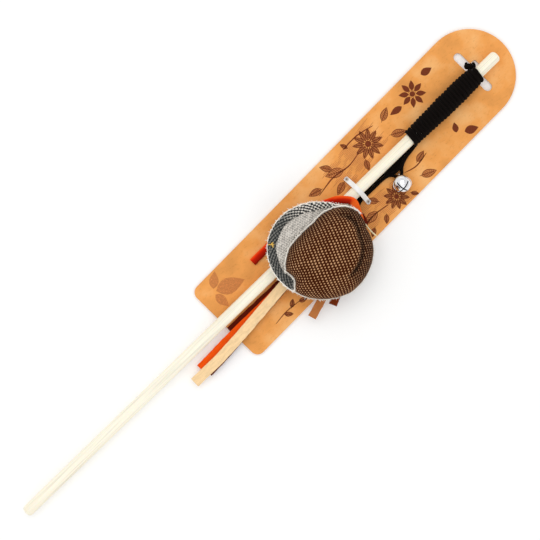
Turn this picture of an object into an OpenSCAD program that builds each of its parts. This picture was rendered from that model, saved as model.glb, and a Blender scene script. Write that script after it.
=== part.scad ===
// Cat teaser wand on its hanging card, lying on its back.
// The wood stick runs along +Y, +Z is up from the table, and +X is to the right of the stick.
// Lengths are millimetres. Every place is measured from the axis and the butt end of a 402 mm
// stick, and at_butt() moves it so that the origin is the middle of the whole thing on the table.

/* [Stick] */
// Length of the wood stick
stick_l = 402; // [380:1:440]
// Place of the stick's tip, from which it reaches down
stick_tip = 402; // [398:0.5:404]
// Diameter of the wood stick
stick_d = 7.2; // [6.4:0.1:7.6]
// Rounding of the stick's two ends
stick_end_r = 2.2; // [0.5:0.1:3]

/* [Card] */
// Width of the hanging card
card_w = 57.4; // [50:0.1:70]
// Length of the hanging card, with its round top
card_l = 244; // [236:1:250]
// Thickness of the card
card_t = 0.8; // [0.5:0.1:1.2]
// Radius of the card's two lower corners
card_corner_r = 5; // [2:0.5:10]
// Height of the card's round top above the butt end of the stick
card_top = 410.8; // [408:0.1:420]
// Turn of the card away from the stick, in degrees
card_turn = 1.34; // [0:0.02:1.6]
// Sideways place of the card's middle, to the left of the stick
card_left = 0.5; // [0:0.1:2]
// Length of the hanging slot
slot_l = 31; // [28:0.5:36]
// Width of the hanging slot
slot_w = 5.4; // [5:0.1:6]
// Distance of the hanging slot from the card's round top
slot_drop = 25.7; // [24:0.1:30]
// Width of the hump in the middle of the hanging slot
slot_hump_w = 9.6; // [8:0.1:10]
// Height of the hump over the slot's middle line
slot_hump_h = 6.4; // [5:0.1:8]

/* [Ties] */
// Thickness of a tie's flat strap
strap_t = 0.9; // [0.6:0.1:1.2]
// Width of a tie's flat strap
strap_w = 3; // [2:0.1:4]
// Diameter of the pegs at a tie's ends
peg_d = 2.2; // [1.8:0.1:2.6]
// Diameter of the holes in the card for the pegs
hole_d = 2.9; // [2.7:0.1:3.2]
// Half the distance between the upper tie's pegs
upper_tie_reach = 10; // [9.4:0.1:11]
// Half the distance between the lower tie's pegs
lower_tie_reach = 4.2; // [4.1:0.1:4.4]
// Place of the upper tie along the stick
upper_tie_y = 283.2; // [282.4:0.1:286]
// Place of the lower tie along the stick
lower_tie_y = 219; // [216:0.5:219]
// Diameter of the buttons behind the card
button_d = 8; // [6:0.5:8]
// Thickness of the buttons behind the card
button_t = 0.9; // [0.7:0.1:1.4]

/* [Cord] */
// Diameter of the black elastic cord
cord_d = 1.9; // [1.6:0.05:1.9]
// Turns of the outer layer that is wound on the stick
turns = 23.4; // [12:1:23.4]
// Place of the winding's lower end along the stick
winding_low = 327.4; // [326:0.2:332]
// Length of the winding
winding_l = 58.8; // [58.4:0.2:66]
// Radius of the winding at its two ends
winding_end_r = 5.75; // [5.7:0.05:6]
// Swell of the winding in its thick part
winding_swell = 1; // [0.4:0.1:1.2]
// Radius of the knot at the winding's upper end
end_knot_r = 2; // [1.6:0.1:2]

/* [Bell] */
// Diameter of the jingle bell
bell_d = 11; // [10:0.1:11.4]
// Thickness of the bell's sheet metal
bell_t = 0.4; // [0.3:0.05:0.6]
// Width of the two crossing slits
slit_w = 0.8; // [0.5:0.1:1.2]
// Tilt of the bell's axis away from upright, in degrees
bell_tilt = 40; // [34:1:44]
// Direction that the bell leans to, in degrees from +X
bell_lean = -36; // [-40:1:-30]
// Diameter of the steel ball inside the bell
pellet_d = 3.2; // [2.4:0.1:3.4]
// Inner radius of the bell's wire eye
eye_r = 1.45; // [1.4:0.05:1.6]
// Diameter of the bell's eye wire
eye_wire_d = 0.9; // [0.7:0.05:0.9]

/* [Lure] */
// Half length of the oval lure
lure_long_r = 32; // [31:0.5:33]
// Half width of the oval lure
lure_short_r = 28.9; // [28:0.5:30]
// Direction of the lure's length, in degrees from +X
lure_turn = 37; // [30:1:44]
// Sideways place of the lure's middle
lure_x = 10.3; // [10:0.1:11]
// Place of the lure's middle along the stick
lure_y = 240.7; // [240:0.1:241]
// Height of the lure's underside at its middle
lure_z = 11.6; // [11.6:0.1:14]
// Rise of the lure's rim over its middle
lure_rise = 9; // [8.5:0.1:11]
// Thickness of the lure's cloths
cloth_t = 1.2; // [0.8:0.1:1.4]
// Width of the turned denim hem
hem_w = 5.4; // [4:0.1:6]
// Height of the stuffed tweed over its own back
dome_h = 16; // [12:0.5:20]
// Half width of the stuffed tweed across the stick
dome_a = 23.8; // [22:0.1:24]
// Half length of the stuffed tweed along the stick
dome_b = 28.6; // [27:0.1:29]
// Distance of the tweed's middle to the right of the lure's middle
dome_right = 7.5; // [6:0.5:8]
// Distance of the tweed's middle from the lure's middle, towards the tip
dome_up = 0.5; // [0:0.1:1]

/* [Laces] */
// Distance from the knot to the cut end of the longest lace
lace_reach = 144.7; // [138:0.1:150]
// Thickness of a suede lace
lace_t = 1.1; // [0.8:0.1:1.1]
// Width of the tan lace
tan_w = 6.6; // [5:0.1:6.8]
// Width of the long orange lace
orange_w = 6.2; // [5:0.1:6.4]
// Width of the brown laces
brown_w = 5.4; // [4:0.1:5.4]
// Width of the long brown lace beside the stick
slim_w = 4.8; // [4:0.1:4.8]
// Width of the folded orange lace
fold_w = 5.2; // [4:0.1:5.4]
// Width of each lace where the cord ties it
tied_w = 4.4; // [3:0.1:4.4]

/* [Hidden] */
$fn = 64;

// Small distances that keep neighbours apart
gap = 0.25;
touch = 0.05;
overrun = 2;

// Heights over the table
card_low = button_t;
card_high = card_low + card_t;
axis_z = 8.5;
stick_r = stick_d / 2;

// Winding
cord_r = cord_d / 2;
winding_high = winding_low + winding_l;
rings_per_turn = 18;
tube_sides = 6;

winding_power = 1.6;

// Middle of the tied laces, which they and the lure turn about
knot_x = 9;
knot_y = 274;
loop_half_w = 4.25;
loop_low = 2.85;
loop_high = 14.1;
loop_corner_r = 1.8;

// Bell, whose eye is threaded on the cord
eye_ring_r = eye_r + eye_wire_d / 2;
eye_x = 11.9;
eye_y = 308.4;
eye_z = 4.5;
eye_place = [eye_x, eye_y, eye_z];
bell_axis = [sin(bell_tilt) * cos(bell_lean), sin(bell_tilt) * sin(bell_lean), cos(bell_tilt)];
bell_r = bell_d / 2;
bell_middle = eye_place + (bell_r + touch + eye_wire_d / 2 + eye_ring_r) * bell_axis;
slit_angle = 64;

// Routes of the doubled cord from the winding to the knot, chosen by hand: one strand goes
// through the bell's eye, the other straight down, and a hitch between them holds the bell
cord_route = [
  [4.8, 328.35, 6.5], [4.8, 328.3, 6.1], [4.9, 327.8, 5.1], [5.2, 325.8, 3.9], [5.6, 323, 3.2],
  [6.1, 319.6, 2.95], [6.9, 316.6, 3.1], [7.9, 314.2, 3.5], [9.2, 312.2, 4], [10.6, 310.8, 4.4],
  [11.5, 309.8, 4.5], [11.9, 308.4, 4.5], [11.4, 306.8, 4.5], [10, 305.9, 4.35], [8.2, 305, 3.9],
  [6.9, 303.4, 3.3], [6.2, 301, 2.95], [5.9, 297.5, 2.85], [5.9, 291, 2.85], [5.9, 281, 2.85],
  [6.8, 278, 2.85], [7.3, 275.2, 2.85]
];
straight_route = [
  [4.85, 327.9, 5.4], [4.6, 326.8, 4.4], [4.2, 324.8, 3.4], [3.9, 322, 2.95], [3.8, 318, 2.85],
  [3.8, 300, 2.85], [3.8, 281, 2.85], [4.6, 278, 2.9], [5.25, 275.4, 3.05]
];
hitch_route = [
  [4.2, 318.2, 2.85], [4.7, 315.8, 2.9], [5.7, 313.4, 3], [6.9, 311.2, 3.3], [7.7, 309, 3.6],
  [7.5, 307.2, 3.6], [6.2, 305.6, 3.3], [4.9, 303.8, 3], [4.2, 301.6, 2.9]
];

// Middle of the footprint, which is the origin
left_edge = -card_left - card_w / 2 - (card_l - card_w) / 2 * sin(card_turn);
right_edge = lure_x + dome_right + dome_a;
origin_x = (left_edge + right_edge) / 2;
origin_y = (card_top + stick_tip - stick_l) / 2;

module at_butt() {
  translate([-origin_x, -origin_y, 0])
    children();
}

// Vectors and swept solids
function unit(v) = v / norm(v);
function mix(a, b, t) = a + (b - a) * t;
function along(points, i) = unit(points[min(i + 1, len(points) - 1)] - points[max(i - 1, 0)]);

// Faces of a tube of rings, each with the same count of points
function tube_faces(rings, sides) = concat(
  [for (i = [1:sides - 2]) [0, i, i + 1]],
  [for (r = [0:rings - 2], s = [0:sides - 1], half = [0, 1])
    let (a = r * sides + s, b = r * sides + (s + 1) % sides)
      half == 0 ? [a, a + sides, b] : [b, a + sides, b + sides]],
  [for (i = [1:sides - 2]) [(rings - 1) * sides, (rings - 1) * sides + i + 1, (rings - 1) * sides + i]]
);

// A round cord through the points, which never run straight along reference
module cord(points, radius, sides, reference) {
  rings = [for (i = [0:len(points) - 1])
    let (t = along(points, i), u = unit(cross(reference, t)), v = cross(t, u))
      for (s = [0:sides - 1])
        points[i] + radius * (cos(360 * s / sides) * u + sin(360 * s / sides) * v)];
  polyhedron(rings, tube_faces(len(points), sides), convexity = 6);
}

// A flat lace through the points, which lie on its underside, with a width at each point
module lace(points, widths, thickness) {
  corners = [for (i = [0:len(points) - 1])
    let (t = along(points, i), side = unit([-t[1], t[0], 0]) * widths[i] / 2)
      each [points[i] - side, points[i] + side, points[i] + side + [0, 0, thickness],
        points[i] - side + [0, 0, thickness]]];
  polyhedron(corners, tube_faces(len(points), 4), convexity = 6);
}

// Widths that grow from the tied end to the full width at the third point
function lace_widths(count, full) = [for (i = [0:count - 1])
  i < 2 ? tied_w : i == 2 ? (tied_w + full) / 2 : full];

// Card
module card_outline() {
  head_r = card_w / 2;
  union() {
    translate([0, card_l - head_r])
      circle(head_r);
    translate([-head_r, card_corner_r])
      square([card_w, card_l - head_r - card_corner_r]);
    translate([-head_r + card_corner_r, 0])
      square([card_w - 2 * card_corner_r, 2 * card_corner_r]);
    for (side = [-1, 1])
      translate([side * (head_r - card_corner_r), card_corner_r])
        circle(card_corner_r);
  }
}

module slot_outline() {
  end_x = (slot_l - slot_w) / 2;
  translate([-end_x, -slot_w / 2])
    square([2 * end_x, slot_w]);
  for (side = [-1, 1])
    translate([side * end_x, 0])
      circle(slot_w / 2);
  translate([-slot_hump_w / 2, 0])
    square([slot_hump_w, slot_hump_h - slot_hump_w / 4]);
  translate([0, slot_hump_h - slot_hump_w / 4])
    intersection() {
      circle(slot_hump_w / 2);
      translate([-slot_hump_w / 2, 0])
        square([slot_hump_w, slot_hump_w / 4]);
    }
}

// The card turns about its middle
module on_card() {
  translate([-card_left, card_top - card_l / 2, 0])
    rotate(card_turn)
      translate([0, -card_l / 2, 0])
        children();
}

module peg_places() {
  for (side = [-1, 1]) {
    translate([side * upper_tie_reach, upper_tie_y, 0])
      children();
    translate([side * lower_tie_reach, lower_tie_y, 0])
      children();
  }
}

module card() {
  color("#e0a058")
    at_butt()
      difference() {
        translate([0, 0, card_low])
          on_card()
            linear_extrude(card_t)
              difference() {
                card_outline();
                translate([0, card_l - slot_drop])
                  slot_outline();
              }
        translate([0, 0, card_low - overrun])
          peg_places()
            cylinder(d = hole_d, h = card_t + 2 * overrun);
      }
}

// Ties: a strap bent over the stick, drawn across it, with a round peg at each end
bend_r = stick_r + gap;
strap_drop = axis_z - card_high - strap_t;

module strap_side(reach) {
  foot = norm([reach, strap_drop]);
  angle = acos(bend_r / foot) - atan2(strap_drop, reach);
  outer = bend_r + strap_t;
  start = [cos(angle), sin(angle)];
  run = [sin(angle), -cos(angle)] * sqrt(foot * foot - bend_r * bend_r);
  steps = 10;
  polygon(concat(
    [for (i = [0:steps]) let (a = mix(90, angle, i / steps)) outer * [cos(a), sin(a)]],
    [outer * start + run, bend_r * start + run],
    [for (i = [steps:-1:0]) let (a = mix(90, angle, i / steps)) bend_r * [cos(a), sin(a)]]
  ));
}

module tie(reach, y) {
  for (side = [0, 1])
    translate([0, y, axis_z])
      mirror([side, 0, 0])
        rotate([90, 0, 0])
          translate([0, 0, -strap_w / 2])
            linear_extrude(strap_w)
              strap_side(reach);
  for (side = [-1, 1])
    translate([side * reach, y, 0])
      cylinder(d = peg_d, h = card_high + 2 * strap_t);
}

module upper_tie() {
  color("#f4f4f0")
    at_butt()
      tie(upper_tie_reach, upper_tie_y);
}

module lower_tie() {
  color("#f4f4f0")
    at_butt()
      tie(lower_tie_reach, lower_tie_y);
}

module tie_buttons() {
  color("#f0f0ec")
    at_butt()
      peg_places()
        difference() {
          cylinder(d = button_d, h = button_t);
          translate([0, 0, -overrun])
            cylinder(d = peg_d, h = button_t + 2 * overrun);
        }
}

// Stick
module stick() {
  color("#efe3c4")
    at_butt()
      translate([0, stick_tip - stick_l, axis_z])
        rotate([-90, 0, 0])
          rotate_extrude()
            union() {
              square([stick_r - stick_end_r, stick_l]);
              translate([0, stick_end_r])
                square([stick_r, stick_l - 2 * stick_end_r]);
              for (y = [stick_end_r, stick_l - stick_end_r])
                translate([stick_r - stick_end_r, y])
                  intersection() {
                    circle(stick_end_r);
                    translate([0, -stick_end_r])
                      square([stick_end_r, 2 * stick_end_r]);
                  }
            }
}

// Winding: the share of its length sets its radius
function winding_r(share) = winding_end_r + winding_swell * sin(180 * pow(share, winding_power));

// Middle line of the wound cord
function wound_point(share) = let (
    a = 360 * turns * share,
    r = winding_r(share) - cord_r
  ) [r * cos(a), mix(winding_low + cord_r, winding_high - cord_r, share), axis_z + r * sin(a)];

module winding_core() {
  steps = 12;
  color("#141414")
    at_butt()
      translate([0, winding_low + cord_r, axis_z])
        rotate([-90, 0, 0])
          rotate_extrude()
            polygon(concat(
              [[stick_r, 0]],
              [for (i = [0:steps]) [winding_r(i / steps) - cord_d - gap, (winding_l - cord_d) * i / steps]],
              [[stick_r, winding_l - cord_d]]
            ));
}

wound_rings = round(turns * rings_per_turn);
wound_line = [for (i = [0:wound_rings]) wound_point(i / wound_rings)];
wound_start = wound_line[0] - cord_d * [0, 0, 1];
wound_end = wound_line[wound_rings] + cord_d * along(wound_line, wound_rings);

module cord_winding() {
  sections = concat(
    [[wound_start, [1, 0, 0]]],
    [for (p = wound_line) [p, unit([p[0], 0, p[2] - axis_z])]],
    [[wound_end, unit([wound_line[wound_rings][0], 0, wound_line[wound_rings][2] - axis_z])]]
  );
  centres = [for (s = sections) s[0]];
  rings = [for (i = [0:len(centres) - 1])
    let (t = along(centres, i), u = unit(sections[i][1] - (sections[i][1] * t) * t), v = cross(t, u))
      for (s = [0:tube_sides - 1])
        centres[i] + cord_r * (cos(360 * s / tube_sides) * u + sin(360 * s / tube_sides) * v)];
  color("#0c0c0c")
    at_butt()
      polyhedron(rings, tube_faces(len(centres), tube_sides), convexity = 10);
}

// The least gap of the wound cord to itself, measured between points over half a turn apart
least_gap = min([for (i = [0:wound_rings - rings_per_turn / 2 - 1])
  min([for (j = [i + rings_per_turn / 2:min(i + 3 * rings_per_turn / 2, wound_rings)])
    norm(wound_line[i] - wound_line[j])])]) - cord_d;
echo("least gap of the winding to itself in mm", least_gap);

// Lobes of the knot at the winding's upper end, with a cut end in the second and the third:
// shares of its radius to the right, along the stick and up, and of the lobe's own radius
lobe_shares = [[0, 0, 0, 1], [-1.1, -0.6, 0.2, 0.8], [0.4, 1, 0.4, 0.7]];
module winding_knot() {
  direction = unit(wound_end - wound_line[wound_rings]);
  middle = wound_end + [0, end_knot_r / 2, 0] + end_knot_r * direction;
  places = [for (s = lobe_shares) middle + end_knot_r * [s[0], s[1], s[2]]];
  color("#101010")
    at_butt() {
      for (i = [0:len(places) - 1])
        translate(places[i])
          sphere(end_knot_r * lobe_shares[i][3]);
      stub(places[1], [-cord_d, -cord_r / 2, 0]);
      stub(places[2], [-cord_r / 2, cord_d, 0]);
    }
}

// A straight cut end of cord from a place
module stub(from, way) {
  translate(from)
    rotate([0, acos(way[2] / norm(way)), atan2(way[1], way[0])])
      cylinder(r = cord_r, h = norm(way));
}

module cord_run() {
  color("#101010")
    at_butt() {
      cord(cord_route, cord_r, 8, [0, 0, 1]);
      cord(straight_route, cord_r, 8, [0, 0, 1]);
      cord(hitch_route, cord_r, 8, [0, 0, 1]);
    }
}

// The cord tied round the laces: an upright loop with round corners
module lure_knot() {
  half_w = loop_half_w - loop_corner_r;
  half_h = (loop_high - loop_low) / 2 - loop_corner_r;
  color("#101010")
    at_butt()
      translate([knot_x, knot_y, (loop_high + loop_low) / 2])
        rotate([90, 0, 0]) {
          for (turn = [0, 180])
            rotate(turn) {
              translate([half_w + loop_corner_r, -half_h, 0])
                rotate([-90, 0, 0])
                  cylinder(r = cord_r, h = 2 * half_h);
              translate([-half_w, half_h + loop_corner_r, 0])
                rotate([0, 90, 0])
                  cylinder(r = cord_r, h = 2 * half_w);
              translate([half_w, half_h, 0])
                rotate_extrude(angle = 90)
                  translate([loop_corner_r, 0])
                    circle(cord_r);
              translate([-half_w, half_h, 0])
                rotate(90)
                  rotate_extrude(angle = 90)
                    translate([loop_corner_r, 0])
                      circle(cord_r);
            }
        }
}

// Bell: its axis is drawn upright, with the eye below and the slits above
module at_bell() {
  at_butt()
    translate(bell_middle)
      rotate([0, 0, bell_lean])
        rotate([0, bell_tilt, 0])
          children();
}

rim_r = bell_r + bell_t / 2;
rim_h = 2 * bell_t;
rivet_r = eye_wire_d * 0.6;
head_r = 2 * rivet_r;

module half_shell() {
  rotate_extrude()
    intersection() {
      difference() {
        circle(bell_r);
        circle(bell_r - bell_t);
      }
      square(2 * bell_r);
    }
}

module bell_top() {
  color("#d8dade")
    at_bell()
      difference() {
        mirror([0, 0, 1])
          half_shell();
        translate([0, 0, -bell_r - overrun])
          cylinder(r = rivet_r + touch, h = overrun + 2 * bell_t);
      }
}

module bell_bottom() {
  slit_reach = bell_r * sin(slit_angle);
  color("#dcdee2")
    at_bell()
      difference() {
        translate([0, 0, touch])
          union() {
            half_shell();
            difference() {
              cylinder(r = rim_r, h = rim_h);
              translate([0, 0, -overrun])
                cylinder(r = bell_r - bell_t / 2, h = rim_h + 2 * overrun);
            }
          }
        for (turn = [0, 90])
          rotate(turn + 45)
            translate([-slit_reach, -slit_w / 2, bell_r * cos(slit_angle)])
              cube([2 * slit_reach, slit_w, bell_r]);
      }
}

// The eye's ring faces along the cord as far as the bell's lean lets it
eye_turn = atan2(cos(bell_lean), sin(bell_lean) * cos(bell_tilt)) - 90;

module bell_eye() {
  ring_low = bell_r + touch + eye_wire_d / 2;
  head_low = sqrt(pow(bell_r - bell_t, 2) - pow(head_r, 2)) - touch;
  color("#c8cace")
    at_bell() {
      translate([0, 0, -ring_low - eye_ring_r])
        rotate([0, 0, eye_turn])
          rotate([90, 0, 0])
            rotate_extrude()
              translate([eye_ring_r, 0])
                circle(eye_wire_d / 2);
      translate([0, 0, -ring_low])
        cylinder(r = rivet_r, h = ring_low - head_low + bell_t / 2);
      translate([0, 0, -head_low])
        cylinder(r = head_r, h = bell_t);
    }
}

// The ball lies at the lowest place inside the bell
module bell_pellet() {
  color("#8a8c90")
    at_butt()
      translate(bell_middle - [0, 0, bell_r - bell_t - pellet_d / 2 - gap])
        sphere(d = pellet_d);
}

// Lure: a shallow denim cup, and stuffed tweed that lies in it
lure_middle = [lure_x, lure_y];
dome_middle = lure_middle + [dome_right, dome_up];

// Distance of the oval rim from the lure's middle, in a direction
function oval_r(a) = 1 / norm([cos(a - lure_turn) / lure_long_r, sin(a - lure_turn) / lure_short_r]);
function at_rim(a, share) = lure_middle + share * oval_r(a) * [cos(a), sin(a)];
function cup_z(p) = let (way = [p[0], p[1]] - lure_middle)
  lure_z + lure_rise * pow(norm(way) / oval_r(atan2(way[1], way[0])), 2);

// A sheet or pad between two heights over a round outline, in rings of triangles
module between(middle, outline, low, high, rings, sides) {
  places = concat(
    [middle],
    [for (r = [1:rings], s = [0:sides - 1]) middle + r / rings * outline(360 * s / sides)]
  );
  count = len(places);
  heights = [for (p = places) low(p)];
  tops = [for (p = places) high(p)];
  points = concat(
    [for (i = [0:count - 1]) [places[i][0], places[i][1], heights[i]]],
    [for (i = [0:count - 1]) [places[i][0], places[i][1], tops[i]]]
  );
  function at(r, s) = 1 + (r - 1) * sides + s % sides;
  skin = concat(
    [for (s = [0:sides - 1]) [0, at(1, s), at(1, s + 1)]],
    [for (r = [1:rings - 1], s = [0:sides - 1], half = [0, 1])
      half == 0 ? [at(r, s), at(r + 1, s), at(r + 1, s + 1)] : [at(r, s), at(r + 1, s + 1), at(r, s + 1)]]
  );
  wall = [for (s = [0:sides - 1], half = [0, 1])
    let (a = at(rings, s), b = at(rings, s + 1))
      half == 0 ? [a, count + a, count + b] : [a, count + b, b]];
  polyhedron(
    points,
    concat(skin, [for (f = skin) [count + f[0], count + f[2], count + f[1]]], wall),
    convexity = 6
  );
}

cup_outline = function(a) oval_r(a) * [cos(a), sin(a)];

// The tweed's outline is an oval that is pulled out towards the knot, and drawn in along its left,
// its lower left and its lower right: the angle of each change, its share and its rate
edge_shares = [[122.6, 0.19, 2.3], [181, -0.055, 3.5], [253.3, -0.14, 5.5], [310, -0.07, 2.2]];
function turn_from(a, b) = (a - b + 540) % 360 - 180;
function dent(a) = 1 + [for (e = edge_shares) e[1] * cos(min(90, abs(turn_from(a, e[0])) * e[2]))]
  * [for (e = edge_shares) 1];
dome_outline = function(a) dent(a) * [dome_a * cos(a), dome_b * sin(a)];

// Place of a point between the tweed's middle, 0, and its outline, 1
function dome_share(p) = let (
    x = (p[0] - dome_middle[0]) / dome_a,
    y = (p[1] - dome_middle[1]) / dome_b
  ) min(1, norm([x, y]) / dent(atan2(y, x)));

// The tweed swells over its own back, with a fold along its upper right side
fold_share = 0.22;
fold_place_share = 0.78;
fold_width_share = 0.1;
fold_angle = 48;
fold_rate = 1.6;
swell_power = 2.6;
swell_root = 0.55;
function fold_at(p) = let (
    a = atan2(p[1] - dome_middle[1], p[0] - dome_middle[0]),
    window = max(0, cos(min(90, abs(turn_from(a, fold_angle)) * fold_rate)))
  ) fold_share * window * exp(-pow((dome_share(p) - fold_place_share) / fold_width_share, 2));
function swell(p) = pow(1 - pow(dome_share(p), swell_power), swell_root) * (1 - fold_at(p));

seam = 2 * gap;
cup_low = function(p) cup_z(p);
cup_high = function(p) cup_z(p) + cloth_t;
back_low = function(p) cup_high(p) + seam;
back_high = function(p) back_low(p) + cloth_t;
cover_low = function(p) back_high(p) + gap + (dome_h - cloth_t / 2) * swell(p);
cover_high = function(p) back_high(p) + gap + cloth_t + dome_h * swell(p);

// The cover and the filling share their rings, so that they keep an even distance
dome_rings = 8;
dome_sides = 28;
fill_share = (dome_rings - 1) / dome_rings;
fill_outline = function(a) fill_share * dome_outline(a);
fill_low = function(p) back_high(p) + gap;
fill_high = function(p) cover_low(p) - seam;

module denim_cup() {
  color("#b9bcc0")
    at_butt()
      between(lure_middle, cup_outline, cup_low, cup_high, 5, 28);
}

module tweed_back() {
  color("#5c4430")
    at_butt()
      between(dome_middle, dome_outline, back_low, back_high, 4, dome_sides);
}

module tweed_cover() {
  color("#74563a")
    at_butt()
      between(dome_middle, dome_outline, cover_low, cover_high, dome_rings, dome_sides);
}

module stuffing() {
  color("#f2efe6")
    at_butt()
      between(dome_middle, fill_outline, fill_low, fill_high, dome_rings - 1, dome_sides);
}

// The denim hem is turned over the left side of the cup's rim
hem_from_angle = 119;
hem_to_angle = 270;
hem_taper_angle = 40;
hem_end_share = 0.35;
hem_steps = 20;
function hem_width(a) = hem_w * min(1, hem_end_share + (a - hem_from_angle) / hem_taper_angle,
  hem_end_share + (hem_to_angle - a) / hem_taper_angle);

module denim_hem() {
  sections = [for (i = [0:hem_steps])
    let (a = mix(hem_from_angle, hem_to_angle, i / hem_steps), inner = 1 - hem_width(a) / oval_r(a))
      each [for (corner = [[inner, 0], [1, 0], [1, 1], [inner, 1]])
        let (p = at_rim(a, corner[0]))
          [p[0], p[1], cup_high(p) + gap + corner[1] * cloth_t]]];
  color("#56606c")
    at_butt()
      polyhedron(sections, [for (f = tube_faces(hem_steps + 1, 4)) [f[0], f[2], f[1]]], convexity = 6);
}

// Yellow sewing thread, knotted off on the hem
hem_thread_angle = 219;
fine_r = cloth_t / 3;
module hem_thread() {
  place = at_rim(hem_thread_angle, 1 - hem_w / 2 / oval_r(hem_thread_angle));
  reach = 4 * fine_r;
  steps = [[-reach, -reach, 2 * fine_r], [0, 0, 4 * fine_r], [reach, -reach / 2, 3 * fine_r]];
  color("#e6c258")
    at_butt()
      cord(
        [for (s = steps) let (p = place + [s[0], s[1]]) [p[0], p[1], cup_high(p) + cloth_t + gap + s[2]]],
        fine_r, 8, [0, 0, 1]);
}

// A loose end of cream yarn, along the upper right of the lure's rim: angles, and shares of the
// rim's distance and of its rise
loose_yarn_shares = [[76, 1.03, 1.02], [70, 1.04, 1.04], [65, 1.065, 1.05], [60, 1.115, 1.02]];
module loose_yarn() {
  color("#e4d3a8")
    at_butt()
      cord(
        [for (s = loose_yarn_shares)
          let (p = at_rim(s[0], s[1])) [p[0], p[1], lure_z + lure_rise * s[2]]],
        fine_r, 8, [0, 0, 1]);
}

// Sewn loop that holds the lure on the tied cord
loop_wire_r = 0.45;
foot_drop = 5.5;
module lure_loop() {
  ring_r = cord_r + gap + touch + loop_wire_r;
  foot = [knot_x, knot_y - foot_drop, cup_z([knot_x, knot_y - foot_drop]) - gap - touch];
  from = [knot_x, knot_y - ring_r, loop_high];
  way = foot - from;
  color("#1c1a18")
    at_butt() {
      translate([knot_x, knot_y, loop_high])
        rotate([0, 90, 0])
          rotate_extrude()
            translate([ring_r, 0])
              circle(loop_wire_r);
      translate(from)
        rotate([0, acos(way[2] / norm(way)), atan2(way[1], way[0])])
          cylinder(r = loop_wire_r, h = norm(way));
    }
}

// Heights of the laces' undersides where the cord ties them, and over the card's lower edge,
// which the laid ones come down to in a straight line that falls no steeper than steepest_share
thin_share = 0.8;
thin_t = thin_share * lace_t;
tied_gap = 0.3;
brown_tied = loop_low + cord_r + tied_gap;
orange_tied = brown_tied + lace_t + tied_gap;
dark_tied = orange_tied + lace_t + tied_gap;
tan_tied = dark_tied + thin_t + tied_gap;
short_tan_tied = tan_tied + lace_t + 2 * tied_gap;
short_brown_tied = short_tan_tied + thin_t + tied_gap;
brown_low = card_high + gap;
orange_low = brown_low + lace_t + gap;
dark_low = orange_low + lace_t + gap;
tan_low = dark_low + thin_t + gap;
short_tan_low = tan_low + lace_t + 2 * gap;
short_brown_low = short_tan_low + thin_t + gap;
fold_low = card_high + gap + touch;
fold_high = loop_high + cord_r + 3 * lace_t + 2 * touch;
brown_fold_low = loop_high + cord_r;
brown_fold_high = brown_fold_low + gap + 3 * touch;
steepest_share = 0.6;
lower_edge_share = max(steepest_share, (knot_y - card_top + card_l) / lace_reach);

// Routes of the laces, chosen by hand: shares of lace_reach from the knot, to the right and
// along the stick. The two folded ones also have the share of their drop.
folded_orange_shares = [
  [0.045, -0.03, 0.106], [0.0235, -0.016, 0.1], [-0.004, -0.002, 0.05], [-0.039, 0.011, 0],
  [-0.069, -0.0055, 0.0625], [-0.0995, -0.0415, 0.1875], [-0.128, -0.11, 0.375],
  [-0.1485, -0.235, 0.6875], [-0.154, -0.373, 0.9375], [-0.154, -0.4685, 1]
];
brown_fold_shares = [[0.0165, -0.0055, 0], [0.044, -0.011, 0], [0.0665, -0.026, 1]];
short_tan_shares = [
  [-0.002, 0.0083], [0, 0], [0.014, -0.0345], [0.055, -0.11], [0.1035, -0.214], [0.145, -0.318],
  [0.171, -0.394], [0.1885, -0.451]
];
short_brown_shares = [
  [-0.0035, 0.0083], [0, 0], [0.0205, -0.0275], [0.076, -0.107], [0.138, -0.214], [0.1865, -0.297],
  [0.212, -0.351]
];
brown_shares = [
  [0, 0.0125], [0, 0], [-0.0008, -0.0415], [-0.002, -0.11], [-0.0069, -0.37], [-0.0138, -0.741]
];
orange_shares = [
  [0, 0.0125], [0, 0], [0.0015, -0.0415], [0.0055, -0.11], [0.0095, -0.235], [0.0105, -0.36],
  [0.0105, -0.58], [0.0115, -0.788], [0.014, -0.857], [0.0165, -0.942]
];
dark_shares = [
  [0, 0.0125], [0, 0], [0.0015, -0.0415], [0.004, -0.11], [0.007, -0.235], [0.0095, -0.36],
  [0.015, -0.456], [0.035, -0.691], [0.0455, -0.802], [0.0495, -0.857], [0.0525, -0.9295]
];
tan_shares = [
  [0, 0.0125], [0, 0], [0, -0.0415], [0.0025, -0.11], [0.007, -0.235], [0.0075, -0.36],
  [0.007, -0.435], [0.014, -0.511], [0.035, -0.743], [0.0415, -0.857], [0.0415, -0.926], [0.041, -1]
];

module laid_lace(shares, from_z, to_z, full_w, thickness) {
  points = [for (s = shares)
    let (drop = len(s) > 2 ? s[2] : max(0, -s[1]) / lower_edge_share)
      [knot_x + s[0] * lace_reach, knot_y + s[1] * lace_reach, mix(from_z, to_z, drop)]];
  at_butt()
    lace(points, lace_widths(len(shares), full_w), thickness);
}

module folded_orange_lace() {
  color("#ee5a1c")
    laid_lace(folded_orange_shares, fold_high, fold_low, fold_w, lace_t);
}

module short_tan_lace() {
  color("#c08a5c")
    laid_lace(short_tan_shares, short_tan_tied, short_tan_low, brown_w, thin_t);
}

module short_brown_lace() {
  color("#5a2418")
    laid_lace(short_brown_shares, short_brown_tied, short_brown_low, brown_w, thin_t);
}

module brown_lace_fold() {
  color("#4a2014")
    laid_lace(brown_fold_shares, brown_fold_high, brown_fold_low, tied_w, thin_t);
}

module brown_lace() {
  color("#4a1c10")
    laid_lace(brown_shares, brown_tied, brown_low, slim_w, lace_t);
}

module orange_lace() {
  color("#ee6a1e")
    laid_lace(orange_shares, orange_tied, orange_low, orange_w, lace_t);
}

module dark_lace() {
  color("#3a2a22")
    laid_lace(dark_shares, dark_tied, dark_low, brown_w, thin_t);
}

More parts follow.
